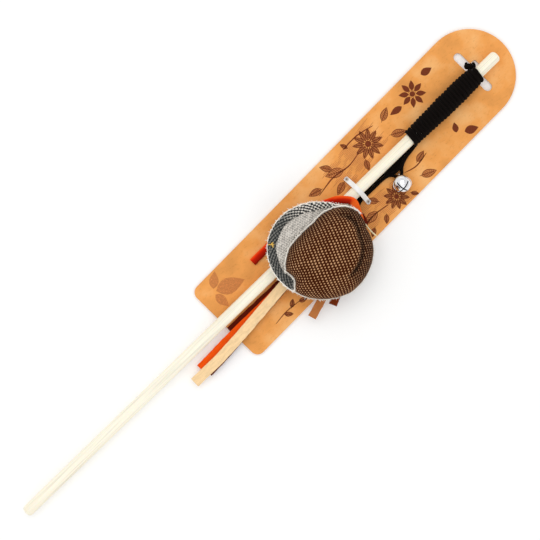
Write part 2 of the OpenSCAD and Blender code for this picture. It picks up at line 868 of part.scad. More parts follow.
module tan_lace() {
  color("#ecc896")
    laid_lace(tan_shares, tan_tied, tan_low, tan_w, lace_t);
}

card();
upper_tie();
lower_tie();
tie_buttons();
stick();
winding_core();
cord_winding();
winding_knot();
cord_run();
lure_knot();
bell_top();
bell_bottom();
bell_eye();
bell_pellet();
denim_cup();
denim_hem();
tweed_cover();
tweed_back();
stuffing();
hem_thread();
loose_yarn();
lure_loop();
folded_orange_lace();
short_tan_lace();
short_brown_lace();
brown_lace_fold();
brown_lace();
orange_lace();
tan_lace();
dark_lace();
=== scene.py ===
"""Looks of a cat teaser wand on its hanging card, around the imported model, as a Blender add-on."""

import math
import random
from itertools import accumulate

import bpy
from bpy.props import FloatProperty, FloatVectorProperty, IntProperty, PointerProperty
from mathutils import Matrix, Vector, noise


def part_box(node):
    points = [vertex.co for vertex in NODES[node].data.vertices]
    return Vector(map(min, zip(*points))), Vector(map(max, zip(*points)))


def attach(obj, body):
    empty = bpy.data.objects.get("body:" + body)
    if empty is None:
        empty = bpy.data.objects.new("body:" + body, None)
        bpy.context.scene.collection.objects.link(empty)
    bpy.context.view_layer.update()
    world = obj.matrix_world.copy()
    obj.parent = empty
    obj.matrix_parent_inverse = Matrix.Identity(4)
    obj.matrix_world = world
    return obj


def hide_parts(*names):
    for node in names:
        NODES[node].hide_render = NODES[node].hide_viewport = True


bl_info = {
    "name": "Cat teaser wand",
    "version": (1, 0, 0),
    "blender": (4, 5, 0),
    "location": "3D view, sidebar, Teaser wand",
    "description": "Dresses a packed cat teaser wand: wood, elastic cord, bell, cloth lure and suede laces",
    "category": "Object",
}

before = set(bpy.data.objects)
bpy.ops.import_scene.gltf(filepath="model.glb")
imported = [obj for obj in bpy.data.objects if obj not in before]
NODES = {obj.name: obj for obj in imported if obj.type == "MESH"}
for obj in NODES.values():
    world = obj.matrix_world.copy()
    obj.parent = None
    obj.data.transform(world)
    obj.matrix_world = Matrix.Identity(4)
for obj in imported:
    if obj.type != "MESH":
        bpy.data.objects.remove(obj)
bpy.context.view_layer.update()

# Places are millimetres from the butt end of the stick's axis, as in the part's source
MM = 0.001
STICK_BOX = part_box("stick")
BUTT = Vector(((STICK_BOX[0].x + STICK_BOX[1].x) / 2, STICK_BOX[0].y, 0))


def place(x, y, z=0.0):
    """A point of the row frame in metres, from millimetres beside, along and above the butt end."""
    return BUTT + Vector((x, y, z)) * MM


def linear(hex_text):
    """The linear colour of an sRGB hex value."""
    values = [int(hex_text[i:i + 2], 16) / 255 for i in (1, 3, 5)]
    return tuple(v / 12.92 if v <= 0.04045 else ((v + 0.055) / 1.055) ** 2.4 for v in values) + (1.0,)


# Sizes that the part's source also has, in millimetres
CARD_HIGH = 1.7
AXIS_Z = 8.5
CORD_R = 0.95
TURNS = 23.4
WINDING_LOW = 327.4
WINDING_L = 58.8
WINDING_END_R = 5.75
WINDING_SWELL = 1.0
WINDING_POWER = 1.6
KNOT_X = 9.0
KNOT_Y = 274.0
LOOP_HALF_W = 4.25
LOOP_LOW = 2.85
LOOP_HIGH = 14.1
LOOP_CORNER_R = 1.8
LURE_LONG_R = 32.0
LURE_SHORT_R = 28.9
LURE_TURN = 37.0
LURE_X = 10.3
LURE_Y = 240.7
LURE_Z = 11.6
LURE_RISE = 9.0
CLOTH_T = 1.2
GAP = 0.25
HEM_W = 5.4
HEM_FROM, HEM_TO = 119.0, 281.0
DOME_H = 16.0
DOME_A = 23.8
DOME_B = 28.6
DOME_X = LURE_X + 7.5
DOME_Y = LURE_Y + 0.5
LACE_REACH = 144.7
LACE_T = 1.1
THIN_T = 0.88
TIE_W = 3.0
TIED_W = 4.4
LOWER_EDGE_SHARE = (KNOT_Y - 166.8) / LACE_REACH

# Middle line of the outer turns, and the filling's foot over the cup's underside
TURNS_LOW = WINDING_LOW + CORD_R
TURNS_L = WINDING_L - 2 * CORD_R
FILLING_FOOT = 2 * CLOTH_T + 3 * GAP

# Faces round the cord, and round and along the tweed, and the waves of its gathers in a full turn
CORD_SIDES = 14
TWEED_SIDES = 360
TWEED_RINGS = 84
UNDER_RINGS = 24
GATHERS = 31

# Where the tweed's oval is pulled out or drawn in: angle, share and rate of each change
EDGE_SHARES = ((122.6, 0.19, 2.3), (181, -0.055, 3.5), (253.3, -0.14, 5.5), (310, -0.07, 2.2))

CORD_ROUTE = [
    (4.8, 328.35, 6.5), (4.8, 328.3, 6.1), (4.9, 327.8, 5.1), (5.2, 325.8, 3.9), (5.6, 323, 3.2),
    (6.1, 319.6, 2.95), (6.9, 316.6, 3.1), (7.9, 314.2, 3.5), (9.2, 312.2, 4), (10.6, 310.8, 4.4),
    (11.5, 309.8, 4.5), (11.9, 308.4, 4.5), (11.4, 306.8, 4.5), (10, 305.9, 4.35), (8.2, 305, 3.9),
    (6.9, 303.4, 3.3), (6.2, 301, 2.95), (5.9, 297.5, 2.85), (5.9, 291, 2.85), (5.9, 281, 2.85),
    (6.8, 278, 2.85), (7.3, 275.2, 2.85),
]
STRAIGHT_ROUTE = [
    (4.85, 327.9, 5.4), (4.6, 326.8, 4.4), (4.2, 324.8, 3.4), (3.9, 322, 2.95), (3.8, 318, 2.85),
    (3.8, 300, 2.85), (3.8, 281, 2.85), (4.6, 278, 2.9), (5.25, 275.4, 3.05),
]
HITCH_ROUTE = [
    (4.2, 318.2, 2.85), (4.7, 315.8, 2.9), (5.7, 313.4, 3), (6.9, 311.2, 3.3), (7.7, 309, 3.6),
    (7.5, 307.2, 3.6), (6.2, 305.6, 3.3), (4.9, 303.8, 3), (4.2, 301.6, 2.9),
]

# Two more crossings of the hitch, that lie in the others and close the gaps between them; they are partly
# cord and partly painted shade, black where the stick's deep shade falls beside it
SHADE_FILLING_ROUTES = (
    [(4.45, 317, 2.87), (5, 313.6, 3.1), (5.7, 311, 3.3), (5.9, 308.8, 3.4), (5.5, 306.6, 3.3),
     (4.8, 304.4, 3), (4.3, 302.2, 2.9)],
    [(5.65, 322.8, 3.15), (6, 318.6, 3.9), (6.9, 315.2, 4.5), (7.9, 312.4, 4.9), (8.3, 309.6, 4.9),
     (7.9, 307, 4.5), (6.9, 304.8, 3.9), (6.2, 302.2, 3.3), (5.95, 299.5, 2.9)],
)

# The knot at the winding's top: its middle, and each lump's place and radius
KNOT_MIDDLE = Vector((-6.1, 385.5, 8.16))
KNOT_LUMPS = (((0, 0, 0), 2.1), ((-1.6, -1.5, 0.4), 2.0), ((0.8, 1.2, 0.8), 1.8))

# Shares of a lump's radius that its loops and their strands have
LOOP_SHARE = 0.52
STRAND_SHARE = 0.46

# Waves of the tweed's weave, in turns a millimetre, measured on the picture, and how strong each is
WEAVE_WAVES = (((0.178, 0.442), 0.44), ((0.674, 0.095), 0.28), ((-0.495, 0.347), 0.28))


class WandSizes(bpy.types.PropertyGroup):
    """Sizes of the cloths, cord and laces that a user may change."""

    tweed_scale: FloatProperty(
        name="Tweed scale", description="Scale of the tweed's weave, 1 as measured",
        default=1.0, min=0.5, max=2)
    twill_pitch: FloatProperty(
        name="Twill pitch", description="Distance of the denim's diagonal lines, in millimetres",
        default=1.45, min=0.5, max=3)
    lace_thickness: FloatProperty(
        name="Lace thickness", description="Thickness of a suede lace, in millimetres",
        default=1.1, min=0.6, max=1.1)
    fray_length: FloatProperty(
        name="Fray length", description="Length of the loose fibres at a raw edge, in millimetres",
        default=1.5, min=0.3, max=4)
    fray_count: IntProperty(
        name="Fray count", description="Loose fibres in each centimetre of raw edge",
        default=34, min=5, max=80)


def colour(name, description, hex_text):
    """A colour property with an sRGB hex value as its default."""
    return FloatVectorProperty(
        name=name, description=description, subtype="COLOR", size=4, min=0, max=1,
        default=linear(hex_text))


class WandColours(bpy.types.PropertyGroup):
    """Colours of the wand's materials."""

    kraft: colour("Kraft", "Uncoated kraft board", "#EBA054")
    dark_ink: colour("Dark ink", "Dark brown printing ink", "#74300E")
    pale_ink: colour("Pale ink", "Mid brown printing ink", "#CC8044")
    birch: colour("Birch", "Sanded birch", "#FEF8E4")
    elastic: colour("Elastic", "Black braided elastic", "#0C0705")
    plastic: colour("Plastic", "White polypropylene", "#F4F4F1")
    tweed_dark: colour("Tweed ground", "Dark threads of the tweed", "#361100")
    tweed_mid: colour("Tweed shade", "Pale threads of the tweed where they go down", "#8D633C")
    tweed_light: colour("Tweed fleck", "Beige threads of the tweed", "#BA906C")
    denim_dark: colour("Denim warp", "Dark threads of the denim's face", "#2A2E2E")
    denim_light: colour("Denim weft", "Pale threads of the denim's face", "#EAE4DA")
    lining: colour("Denim back", "Pale wrong side of the denim", "#F8F1E7")
    fibre: colour("Raw fibres", "White fibres of the raw edges", "#FBF6EC")
    orange: colour("Orange suede", "Orange dyed suede", "#EC5410")
    lit_orange: colour("Bright orange suede", "Lit side of the folded orange suede", "#EC6420")
    red: colour("Red suede", "Shaded end of the folded orange suede", "#A41A05")
    tan: colour("Tan suede", "Tan dyed suede", "#EFCE9E")
    # Colours the tan lace's short tail: its suede with painted shade from under the lure's edge
    light_brown: colour("Light brown suede", "Light brown dyed suede", "#B67240")
    brown: colour("Brown suede", "Dark brown dyed suede", "#5A180A")
    chestnut: colour("Chestnut suede", "Reddish brown dyed suede", "#742E10")
    yellow: colour("Yellow thread", "Sewing thread", "#E8BC5C")
    cream: colour("Cream yarn", "Loose cream yarn", "#F4E2B8")


# Materials
WHITE = (1, 1, 1, 1)
MULTIPLIED = {"data_type": "RGBA", "blend_type": "MULTIPLY"}
MADE = {}


def add(tree, kind, settings=None, links=None):
    """Adds a node, sets its sockets and properties, and links its inputs to sockets or nodes."""
    node = tree.nodes.new(kind)
    for key, value in (settings or {}).items():
        if key == "stops":
            elements = node.color_ramp.elements
            while len(elements) < len(value):
                elements.new(0.5)
            for element, (position, tone) in zip(elements, value):
                element.position = position
                element.color = tone
        elif isinstance(key, int) or key in node.inputs:
            node.inputs[key].default_value = value
        else:
            setattr(node, key, value)
    for key, source in (links or {}).items():
        socket = source.outputs[0] if isinstance(source, bpy.types.Node) else source
        tree.links.new(socket, node.inputs[key])
    return node


def material_of(name, make, *values):
    """The named material, made the first time it is asked for."""
    if name not in MADE:
        material = bpy.data.materials.new(name)
        material.use_nodes = True
        tree = material.node_tree
        tree.nodes.clear()
        constants, links = make(tree, *values)
        shader = add(tree, "ShaderNodeBsdfPrincipled", constants, links)
        add(tree, "ShaderNodeOutputMaterial", None, {"Surface": shader})
        MADE[name] = material
    return MADE[name]


def per(size_mm):
    """Texture scale that gives features of a size in millimetres."""
    return 1 / (size_mm * MM)


def shade(value, factor):
    """A colour made darker or lighter."""
    return tuple(min(1.0, c * factor) for c in value[:3]) + (1.0,)


# Each of these adds a material's nodes, and returns its shader's constants and links
def pale_paper(tree):
    """Paper on the table: near white, with a faint cloudy tone."""
    spot = add(tree, "ShaderNodeTexCoord").outputs["Object"]
    cloud = add(tree, "ShaderNodeTexNoise", {"Scale": per(400)}, {"Vector": spot})
    tone = add(tree, "ShaderNodeValToRGB", {"stops": [(0.3, linear("#FAFAF9")), (0.7, WHITE)]}, {0: cloud})
    return {"Roughness": 0.9, "Specular IOR Level": 0.1}, {"Base Color": tone}


def uncoated_kraft_board(tree, base):
    """Kraft board: short pressed fibres, matt, with a cloudy tone and darker flecks."""
    spot = add(tree, "ShaderNodeTexCoord").outputs["Object"]
    # Cloudy tone of pressed pulp, about 20 mm across
    cloud = add(tree, "ShaderNodeTexNoise", {"Scale": per(20), "Detail": 4}, {"Vector": spot})
    # Fibres about 2 mm long and 0.7 mm wide, drawn coarser than real to show
    stretch = add(tree, "ShaderNodeMapping", {"Scale": (1, 0.35, 1)}, {"Vector": spot})
    fibres = add(tree, "ShaderNodeTexNoise", {"Scale": per(0.7), "Detail": 5}, {"Vector": stretch})
    tone = add(tree, "ShaderNodeValToRGB", {"stops": [
        (0.34, shade(base, 0.84)), (0.5, base), (0.68, linear("#F2B572"))]}, {0: cloud})
    fleck = add(tree, "ShaderNodeValToRGB", {"stops": [
        (0.3, (0.78, 0.72, 0.66, 1)), (0.43, WHITE)]}, {0: fibres})
    flecked = add(tree, "ShaderNodeMix", {**MULTIPLIED, 0: 0.55}, {6: tone, 7: fleck})
    bump = add(tree, "ShaderNodeBump", {"Strength": 0.5, "Distance": 0.00008}, {"Height": fibres})
    return ({"Roughness": 0.88, "Specular IOR Level": 0.25},
            {"Base Color": flecked.outputs[2], "Normal": bump})


def printed_ink(tree, base):
    """Water based ink on rough board: matt, soaked in unevenly."""
    spot = add(tree, "ShaderNodeTexCoord").outputs["Object"]
    patches = add(tree, "ShaderNodeTexNoise", {"Scale": per(0.9), "Detail": 4}, {"Vector": spot})
    tone = add(tree, "ShaderNodeValToRGB", {"stops": [
        (0.32, shade(base, 0.8)), (0.6, base), (0.76, shade(base, 1.35))]}, {0: patches})
    return {"Roughness": 0.82, "Specular IOR Level": 0.3}, {"Base Color": tone}


def sanded_birch(tree, base):
    """Birch dowel: pale, close grain along its length, sanded and bare."""
    spot = add(tree, "ShaderNodeTexCoord").outputs["Object"]
    # Grain in lines about 0.8 mm wide that run 50 mm, in broader warm streaks
    stretch = add(tree, "ShaderNodeMapping", {"Scale": (1, 0.016, 1)}, {"Vector": spot})
    grain = add(tree, "ShaderNodeTexNoise", {"Scale": per(0.8), "Detail": 6, "Roughness": 0.6},
                {"Vector": stretch})
    broad = add(tree, "ShaderNodeTexNoise", {"Scale": per(3.5), "Detail": 2}, {"Vector": stretch})
    tone = add(tree, "ShaderNodeValToRGB", {"stops": [
        (0.28, shade(base, 0.72)), (0.5, shade(base, 0.95)), (0.7, base)]}, {0: grain})
    warm = add(tree, "ShaderNodeValToRGB", {"stops": [(0.35, linear("#F0D9B0")), (0.6, WHITE)]}, {0: broad})
    mixed = add(tree, "ShaderNodeMix", {**MULTIPLIED, 0: 0.2}, {6: tone, 7: warm})
    bump = add(tree, "ShaderNodeBump", {"Strength": 0.35, "Distance": 0.00005}, {"Height": grain})
    return ({"Roughness": 0.55, "Specular IOR Level": 0.35, "Subsurface Weight": 0.05,
             "Subsurface Radius": (0.002, 0.001, 0.0005)},
            {"Base Color": mixed.outputs[2], "Normal": bump})


def braided_elastic(tree, base):
    """Braided elastic: crossing flat strands, black, with a dull sheen."""
    strand_mm = 0.55
    spot = add(tree, "ShaderNodeAttribute", {"attribute_name": "cloth"}).outputs["Vector"]
    turned = add(tree, "ShaderNodeMapping", {
        "Rotation": (0, 0, math.radians(45)), "Scale": [per(strand_mm) * math.pi] * 3}, {"Vector": spot})
    parts = add(tree, "ShaderNodeSeparateXYZ", None, {0: turned})
    across = add(tree, "ShaderNodeMath", {"operation": "SINE"}, {0: parts})
    along = add(tree, "ShaderNodeMath", {"operation": "SINE"}, {0: parts.outputs[1]})
    braid = add(tree, "ShaderNodeMath", {"operation": "MULTIPLY"}, {0: across, 1: along})
    height = add(tree, "ShaderNodeMath", {"operation": "ABSOLUTE"}, {0: braid})
    # Painted shade between the braid's strands and painted light on their tops
    tone = add(tree, "ShaderNodeValToRGB", {"stops": [
        (0.1, shade(base, 0.4)), (0.8, shade(base, 1.8))]}, {0: height})
    bump = add(tree, "ShaderNodeBump", {"Strength": 0.8, "Distance": 0.00012}, {"Height": height})
    return ({"Roughness": 0.85, "Sheen Weight": 0.02, "Sheen Roughness": 0.4, "Specular IOR Level": 0.06},
            {"Base Color": tone, "Normal": bump})


def moulded_polypropylene(tree, base, pegs):
    """Polypropylene tie: white, slightly waxy, with faint flow marks and painted shade in a dimple at each
    peg.
    """
    spot = add(tree, "ShaderNodeTexCoord").outputs["Object"]
    flow = add(tree, "ShaderNodeTexNoise", {"Scale": per(2.5), "Detail": 3}, {"Vector": spot})
    shaded = add(tree, "ShaderNodeValToRGB", {"stops": [(0.3, shade(base, 0.9)), (0.7, base)]}, {0: flow})
    # Painted shade: a dark dimple 1.2 mm across in a shaded ring of 2.6 mm, about each peg's axis
    flat = add(tree, "ShaderNodeVectorMath", {"operation": "MULTIPLY", 1: (1, 1, 0)}, {0: spot})
    for peg in pegs:
        far = add(tree, "ShaderNodeVectorMath", {"operation": "DISTANCE", 1: peg}, {0: flat})
        share = add(tree, "ShaderNodeMapRange", {"From Max": 2 * MM}, {"Value": far.outputs["Value"]})
        ring = add(tree, "ShaderNodeValToRGB", {"stops": [
            (0.2, linear("#7A6A62")), (0.36, linear("#C9C2BD")), (0.62, linear("#D6D0CC")), (0.74, WHITE)]},
            {0: share})
        shaded = add(tree, "ShaderNodeMix", {**MULTIPLIED, 0: 1.0}, {6: shaded, 7: ring}).outputs[2]
    bump = add(tree, "ShaderNodeBump", {"Strength": 0.15, "Distance": 0.00005}, {"Height": flow})
    return ({"Roughness": 0.42, "IOR": 1.49, "Subsurface Weight": 0.1,
             "Subsurface Radius": (0.001, 0.001, 0.001)},
            {"Base Color": shaded, "Normal": bump})


def bright_metal(tree, base, roughness, smear, hollow=None):
    """Plated or tumbled steel: sharp reflections and fine handling marks, with painted shade on the inner
    side.
    """
    spot = add(tree, "ShaderNodeTexCoord").outputs["Object"]
    marks = add(tree, "ShaderNodeTexNoise", {"Scale": per(1.5), "Detail": 4}, {"Vector": spot})
    dull = add(tree, "ShaderNodeMapRange", {"To Min": roughness, "To Max": roughness + smear},
               {"Value": marks})
    shaded = add(tree, "ShaderNodeValToRGB", {"stops": [(0.35, shade(base, 0.9)), (0.65, base)]}, {0: marks})
    bump = add(tree, "ShaderNodeBump", {"Strength": 0.08, "Distance": 0.00004}, {"Height": marks})
    if hollow:
        # Painted shade inside the hollow, seen through the slits
        middle, radius = hollow
        far = add(tree, "ShaderNodeVectorMath", {"operation": "DISTANCE", 1: middle}, {0: spot})
        side = add(tree, "ShaderNodeMapRange", {"From Min": radius * 0.94, "From Max": radius * 0.975},
                   {"Value": far.outputs["Value"]})
        painted_inner_shade = add(tree, "ShaderNodeMix", {"data_type": "RGBA", 6: linear("#2A211C")},
                    {0: side, 7: shaded})
        shaded = painted_inner_shade.outputs[2]
    return ({"Metallic": 1.0, "Roughness": roughness},
            {"Base Color": shaded, "Roughness": dull, "Normal": bump})


def woven_tweed(tree, colours, scale):
    """Woven tweed: dark ground with beige flecks where the pale thread comes up."""
    spot = add(tree, "ShaderNodeAttribute", {"attribute_name": "cloth"}).outputs["Vector"]
    wander = add(tree, "ShaderNodeTexNoise", {"Scale": per(5), "Detail": 2}, {"Vector": spot})
    moved = add(tree, "ShaderNodeVectorMath", {"operation": "MULTIPLY_ADD", 1: (0.001,) * 3},
                {0: wander.outputs["Color"], 2: spot})
    rate = 2 * math.pi * per(scale)
    weave = None
    for (wx, wy), strength in WEAVE_WAVES:
        phase = add(tree, "ShaderNodeVectorMath", {
            "operation": "DOT_PRODUCT", 1: (wx * rate, wy * rate, 0)}, {0: moved})
        wave = add(tree, "ShaderNodeMath", {"operation": "COSINE"}, {0: phase.outputs["Value"]})
        part = add(tree, "ShaderNodeMath", {"operation": "MULTIPLY", 1: strength}, {0: wave})
        weave = add(tree, "ShaderNodeMath", {"operation": "ADD"}, {0: weave, 1: part}) if weave else part
    # Yarn is uneven over about 0.5 mm, and fleck strength changes over about 7 mm
    fleck = weave
    for size_mm, most in ((0.5, 1.3), (7, 1.0)):
        change = add(tree, "ShaderNodeTexNoise", {"Scale": per(size_mm), "Detail": 3}, {"Vector": spot})
        part = add(tree, "ShaderNodeMath", {"operation": "MULTIPLY_ADD", 1: most, 2: -most / 2}, {0: change})
        fleck = add(tree, "ShaderNodeMath", {"operation": "ADD"}, {0: fleck, 1: part})
    dark, mid, light = colours.tweed_dark, colours.tweed_mid, colours.tweed_light
    # Painted shade where the pale threads go down into the weave and painted light where they come up,
    # between the dark ground and the beige flecks
    tone = add(tree, "ShaderNodeValToRGB", {"stops": [
        (0.0, shade(dark, 1.3)), (0.14, shade(mid, 0.38)),
        (0.36, shade(mid, 1.08)), (0.8, shade(light, 1.25))]}, {0: fleck})
    # The third cloth value is the share of light that is left in creases and gathers
    parts = add(tree, "ShaderNodeSeparateXYZ", None, {0: spot})
    creased = add(tree, "ShaderNodeVectorMath", {"operation": "SCALE"}, {0: tone, "Scale": parts.outputs[2]})
    bump = add(tree, "ShaderNodeBump", {"Strength": 1.0, "Distance": 0.0003}, {"Height": weave})
    return ({"Roughness": 0.95, "Sheen Weight": 0.02, "Sheen Roughness": 0.5, "Specular IOR Level": 0.08},
            {"Base Color": creased, "Normal": bump})


def denim_twill(tree, dark, light, pitch_mm, share, stretch=1.0, fade=None):
    """Denim: fine diagonal twill with uneven pale stitches, or the wrong side, streaked along its yarns."""
    spot = add(tree, "ShaderNodeAttribute", {"attribute_name": "cloth"}).outputs["Vector"]
    rate = per(pitch_mm) * math.pi
    turned = add(tree, "ShaderNodeMapping", {
        "Rotation": (0, 0, math.radians(33)), "Scale": (2 * rate, 1.5 * rate, 1)}, {"Vector": spot})
    parts = add(tree, "ShaderNodeSeparateXYZ", None, {0: turned})
    lines = add(tree, "ShaderNodeMath", {"operation": "SINE"}, {0: parts})
    dashes = add(tree, "ShaderNodeMath", {"operation": "SINE"}, {0: parts.outputs[1]})
    both = add(tree, "ShaderNodeMath", {"operation": "MULTIPLY_ADD", 1: 0.55}, {0: dashes, 2: lines})
    drawn = add(tree, "ShaderNodeMapping", {"Scale": (1, 1 / stretch, 1)}, {"Vector": spot})
    yarn = add(tree, "ShaderNodeTexNoise", {"Scale": per(0.9), "Detail": 4, "Roughness": 0.65},
               {"Vector": drawn})
    mixed = add(tree, "ShaderNodeMath", {"operation": "MULTIPLY_ADD", 1: 7.0}, {0: yarn, 2: both})
    spread = add(tree, "ShaderNodeMapRange", {"From Min": 1.2, "From Max": 5.8}, {"Value": mixed})
    shaded = add(tree, "ShaderNodeValToRGB", {"stops": [
        (0.25, shade(dark, 0.55)), (0.45, dark), (share, light), (1.0, shade(light, 1.1))]}, {0: spread})
    if fade:
        # Past these lengths along the hem its face is worn smooth and even
        along = add(tree, "ShaderNodeSeparateXYZ", None, {0: spot}).outputs[1]
        worn = add(tree, "ShaderNodeMapRange", {"From Min": fade[0], "From Max": fade[1], "To Max": 0.78},
                   {"Value": along})
        even = add(tree, "ShaderNodeMix", {"data_type": "RGBA", 7: shade(dark, 1.35)},
                   {0: worn, 6: shaded})
        shaded = even.outputs[2]
    bump = add(tree, "ShaderNodeBump", {"Strength": 0.6, "Distance": 0.00015}, {"Height": both})
    return ({"Roughness": 0.92, "Sheen Weight": 0.04, "Sheen Roughness": 0.5, "Specular IOR Level": 0.1},
            {"Base Color": shaded, "Normal": bump})


def soft_fibre(tree, base, grain_mm):
    """Loose spun fibre: matt, fuzzy, with small changes of tone along it."""
    spot = add(tree, "ShaderNodeTexCoord").outputs["Object"]
    grain = add(tree, "ShaderNodeTexNoise", {"Scale": per(grain_mm), "Detail": 4}, {"Vector": spot})
    tone = add(tree, "ShaderNodeValToRGB", {"stops": [(0.3, shade(base, 0.84)), (0.58, base)]}, {0: grain})
    bump = add(tree, "ShaderNodeBump", {"Strength": 0.6, "Distance": 0.0001}, {"Height": grain})
    return ({"Roughness": 0.95, "Sheen Weight": 0.1, "Specular IOR Level": 0.1},
            {"Base Color": tone, "Normal": bump})


def dyed_suede(tree, base, shade_colour=None, fold_mm=0, full_shade_mm=0):
    """Suede: a short brushed nap that turns light and dark, over cut leather, with painted shade in red past
    the fold.
    """
    spot = add(tree, "ShaderNodeTexCoord").outputs["Object"]
    # Nap lies in strokes about 5 mm long, over a grit of about 0.35 mm
    strokes = add(tree, "ShaderNodeMapping", {"Scale": (1, 0.3, 1)}, {"Vector": spot})
    brushed = add(tree, "ShaderNodeTexNoise", {"Scale": per(1.5), "Detail": 3}, {"Vector": strokes})
    grit = add(tree, "ShaderNodeTexNoise", {"Scale": per(0.35), "Detail": 3}, {"Vector": spot})
    both = add(tree, "ShaderNodeMath", {"operation": "MULTIPLY_ADD", 1: 0.6}, {0: grit, 2: brushed})
    shaded = add(tree, "ShaderNodeValToRGB", {"stops": [
        (0.5, shade(base, 0.86)), (0.76, base), (1.0, shade(base, 1.12))]}, {0: both})
    if shade_colour:
        # Painted shade: from the fold on, away from the lace's outer edge, and over its width further along,
        # the colour turns to the shaded red
        cloth = add(tree, "ShaderNodeAttribute", {"attribute_name": "cloth"}).outputs["Vector"]
        parts = add(tree, "ShaderNodeSeparateXYZ", None, {0: cloth})
        across, past, low, edge, whole = (
            add(tree, "ShaderNodeMapRange", {"From Min": first * MM, "From Max": last * MM, "To Min": least},
                {"Value": parts.outputs[way]})
            for way, first, last, least in (
                (0, -2.6, -0.4, 0), (1, fold_mm - 1, fold_mm + 2, 0), (1, fold_mm + 6, full_shade_mm, 0),
                (0, -2.3, -1.1, 0.45), (0, -2.6, 2.6, 0)))
        both = add(tree, "ShaderNodeMath", {"operation": "MULTIPLY"}, {0: across, 1: past})
        late = add(tree, "ShaderNodeMath", {"operation": "MULTIPLY"}, {0: edge, 1: low})
        most = add(tree, "ShaderNodeMath", {"operation": "MAXIMUM"}, {0: both, 1: late})
        # Painted light across the lace: lit at its outer edge, shaded at its inner edge
        red = add(tree, "ShaderNodeValToRGB", {"stops": [
            (0.1, shade(shade_colour, 2.4)), (0.45, shade(shade_colour, 1.3)), (0.9, shade(shade_colour, 0.6))]}, {0: whole})
        shaded = add(tree, "ShaderNodeMix", {"data_type": "RGBA"}, {0: most, 6: shaded, 7: red}).outputs[2]
    bump = add(tree, "ShaderNodeBump", {"Strength": 0.7, "Distance": 0.0001}, {"Height": grit})
    return ({"Roughness": 0.9, "Sheen Weight": 0.07, "Sheen Roughness": 0.35, "Specular IOR Level": 0.05},
            {"Base Color": shaded, "Normal": bump})


# Meshes
def turn_steps(count, closed=False):
    """Angles of equal steps round a full turn, in radians."""
    return [2 * math.pi * k / count for k in range(count + closed)]


def tilted(turn, axis, lean):
    """A turn about an axis after a lean about X, both in degrees."""
    return Matrix.Rotation(math.radians(turn), 3, axis) @ Matrix.Rotation(math.radians(lean), 3, "X")


def curve_through(points, step):
    """Points about a step apart, in the points' own unit, on a smooth curve through the given ones."""
    given = [Vector(p) for p in points]
    padded = [given[0], *given, given[-1]]
    line = []
    for a, b, c, d in zip(padded, padded[1:], padded[2:], padded[3:]):
        count = max(1, math.ceil((c - b).length / step))
        for t in (k / count for k in range(count)):
            line.append(0.5 * (2 * b + (c - a) * t + (2 * a - 5 * b + 4 * c - d) * t * t
                               + (3 * b - a - 3 * c + d) * t ** 3))
    return [*line, given[-1]]


def tangent_at(line, i):
    """Direction of a line at one of its points."""
    return (line[min(i + 1, len(line) - 1)] - line[max(i - 1, 0)]).normalized()


def frames_along(line, up):
    """Tangent, side and upward direction at each point of a line, turned as little as possible."""
    frames = []
    normal = Vector(up)
    for i in range(len(line)):
        tangent = tangent_at(line, i)
        normal = (normal - tangent * normal.dot(tangent)).normalized()
        frames.append((tangent, tangent.cross(normal), normal))
    return frames


def lengths_along(line):
    """Distance of each point from the line's start, along it."""
    return list(accumulate(((b - a).length for a, b in zip(line, line[1:])), initial=0.0))


def plied(lobes, twist_mm, depth):
    """A section of twisted strands, for yarn and thread."""
    return lambda angle, run: 1 + depth * math.cos(lobes * (angle + 2 * math.pi * run / twist_mm))


class Shape:
    """A mesh in the making: points in millimetres from the butt end, places on the cloth, and faces."""

    def __init__(self):
        self.points = []
        self.cloth = []
        self.faces = []

    def dot(self, point, cloth=(0, 0)):
        """Adds a point and its place on the cloth in millimetres, with a share of light if it has one."""
        self.points.append(point)
        self.cloth.append(cloth)

    def grid(self, first, rows, across, flip=False, stride=None):
        """Adds faces between rows of points that run round, each point and the one a stride on."""
        stride = stride or across
        for r in range(rows):
            for s in range(across):
                a = first + r * across + s
                b = first + r * across + (s + 1) % across
                self.faces.append(
                    (a, a + stride, b + stride, b) if flip else (a, b, b + stride, a + stride))

    def caps(self, first, rows, across, flip=False):
        """Closes the first and the last row."""
        low = tuple(first + s for s in range(across))
        high = tuple(first + rows * across + s for s in range(across))
        self.faces += [low, high[::-1]] if flip else [low[::-1], high]

    def tube(self, line, radius, sides, up=(0, 0, 1), section=None, round_ends=True, frames=None, wide=1.0):
        """Adds a tube along a line, with a section that may change its radius round and along it."""
        frames = frames or frames_along(line, up)
        rings = [(p, side, normal, run, 1.0)
                 for p, (tangent, side, normal), run in zip(line, frames, lengths_along(line))]
        if round_ends:
            reach, end_size = radius * 0.35, 0.6
            rings.insert(0, (line[0] - frames[0][0] * reach, *frames[0][1:], 0.0, end_size))
            rings.append((line[-1] + frames[-1][0] * reach, *frames[-1][1:], rings[-1][3], end_size))
        first = len(self.points)
        for p, side, normal, run, size in rings:
            for angle in turn_steps(sides):
                r = radius * size * (section(angle, run) if section else 1.0)
                self.dot(p + side * math.cos(angle) * r * wide + normal * math.sin(angle) * r,
                         (radius * angle, run))
        self.grid(first, len(rings) - 1, sides)
        self.caps(first, len(rings) - 1, sides)


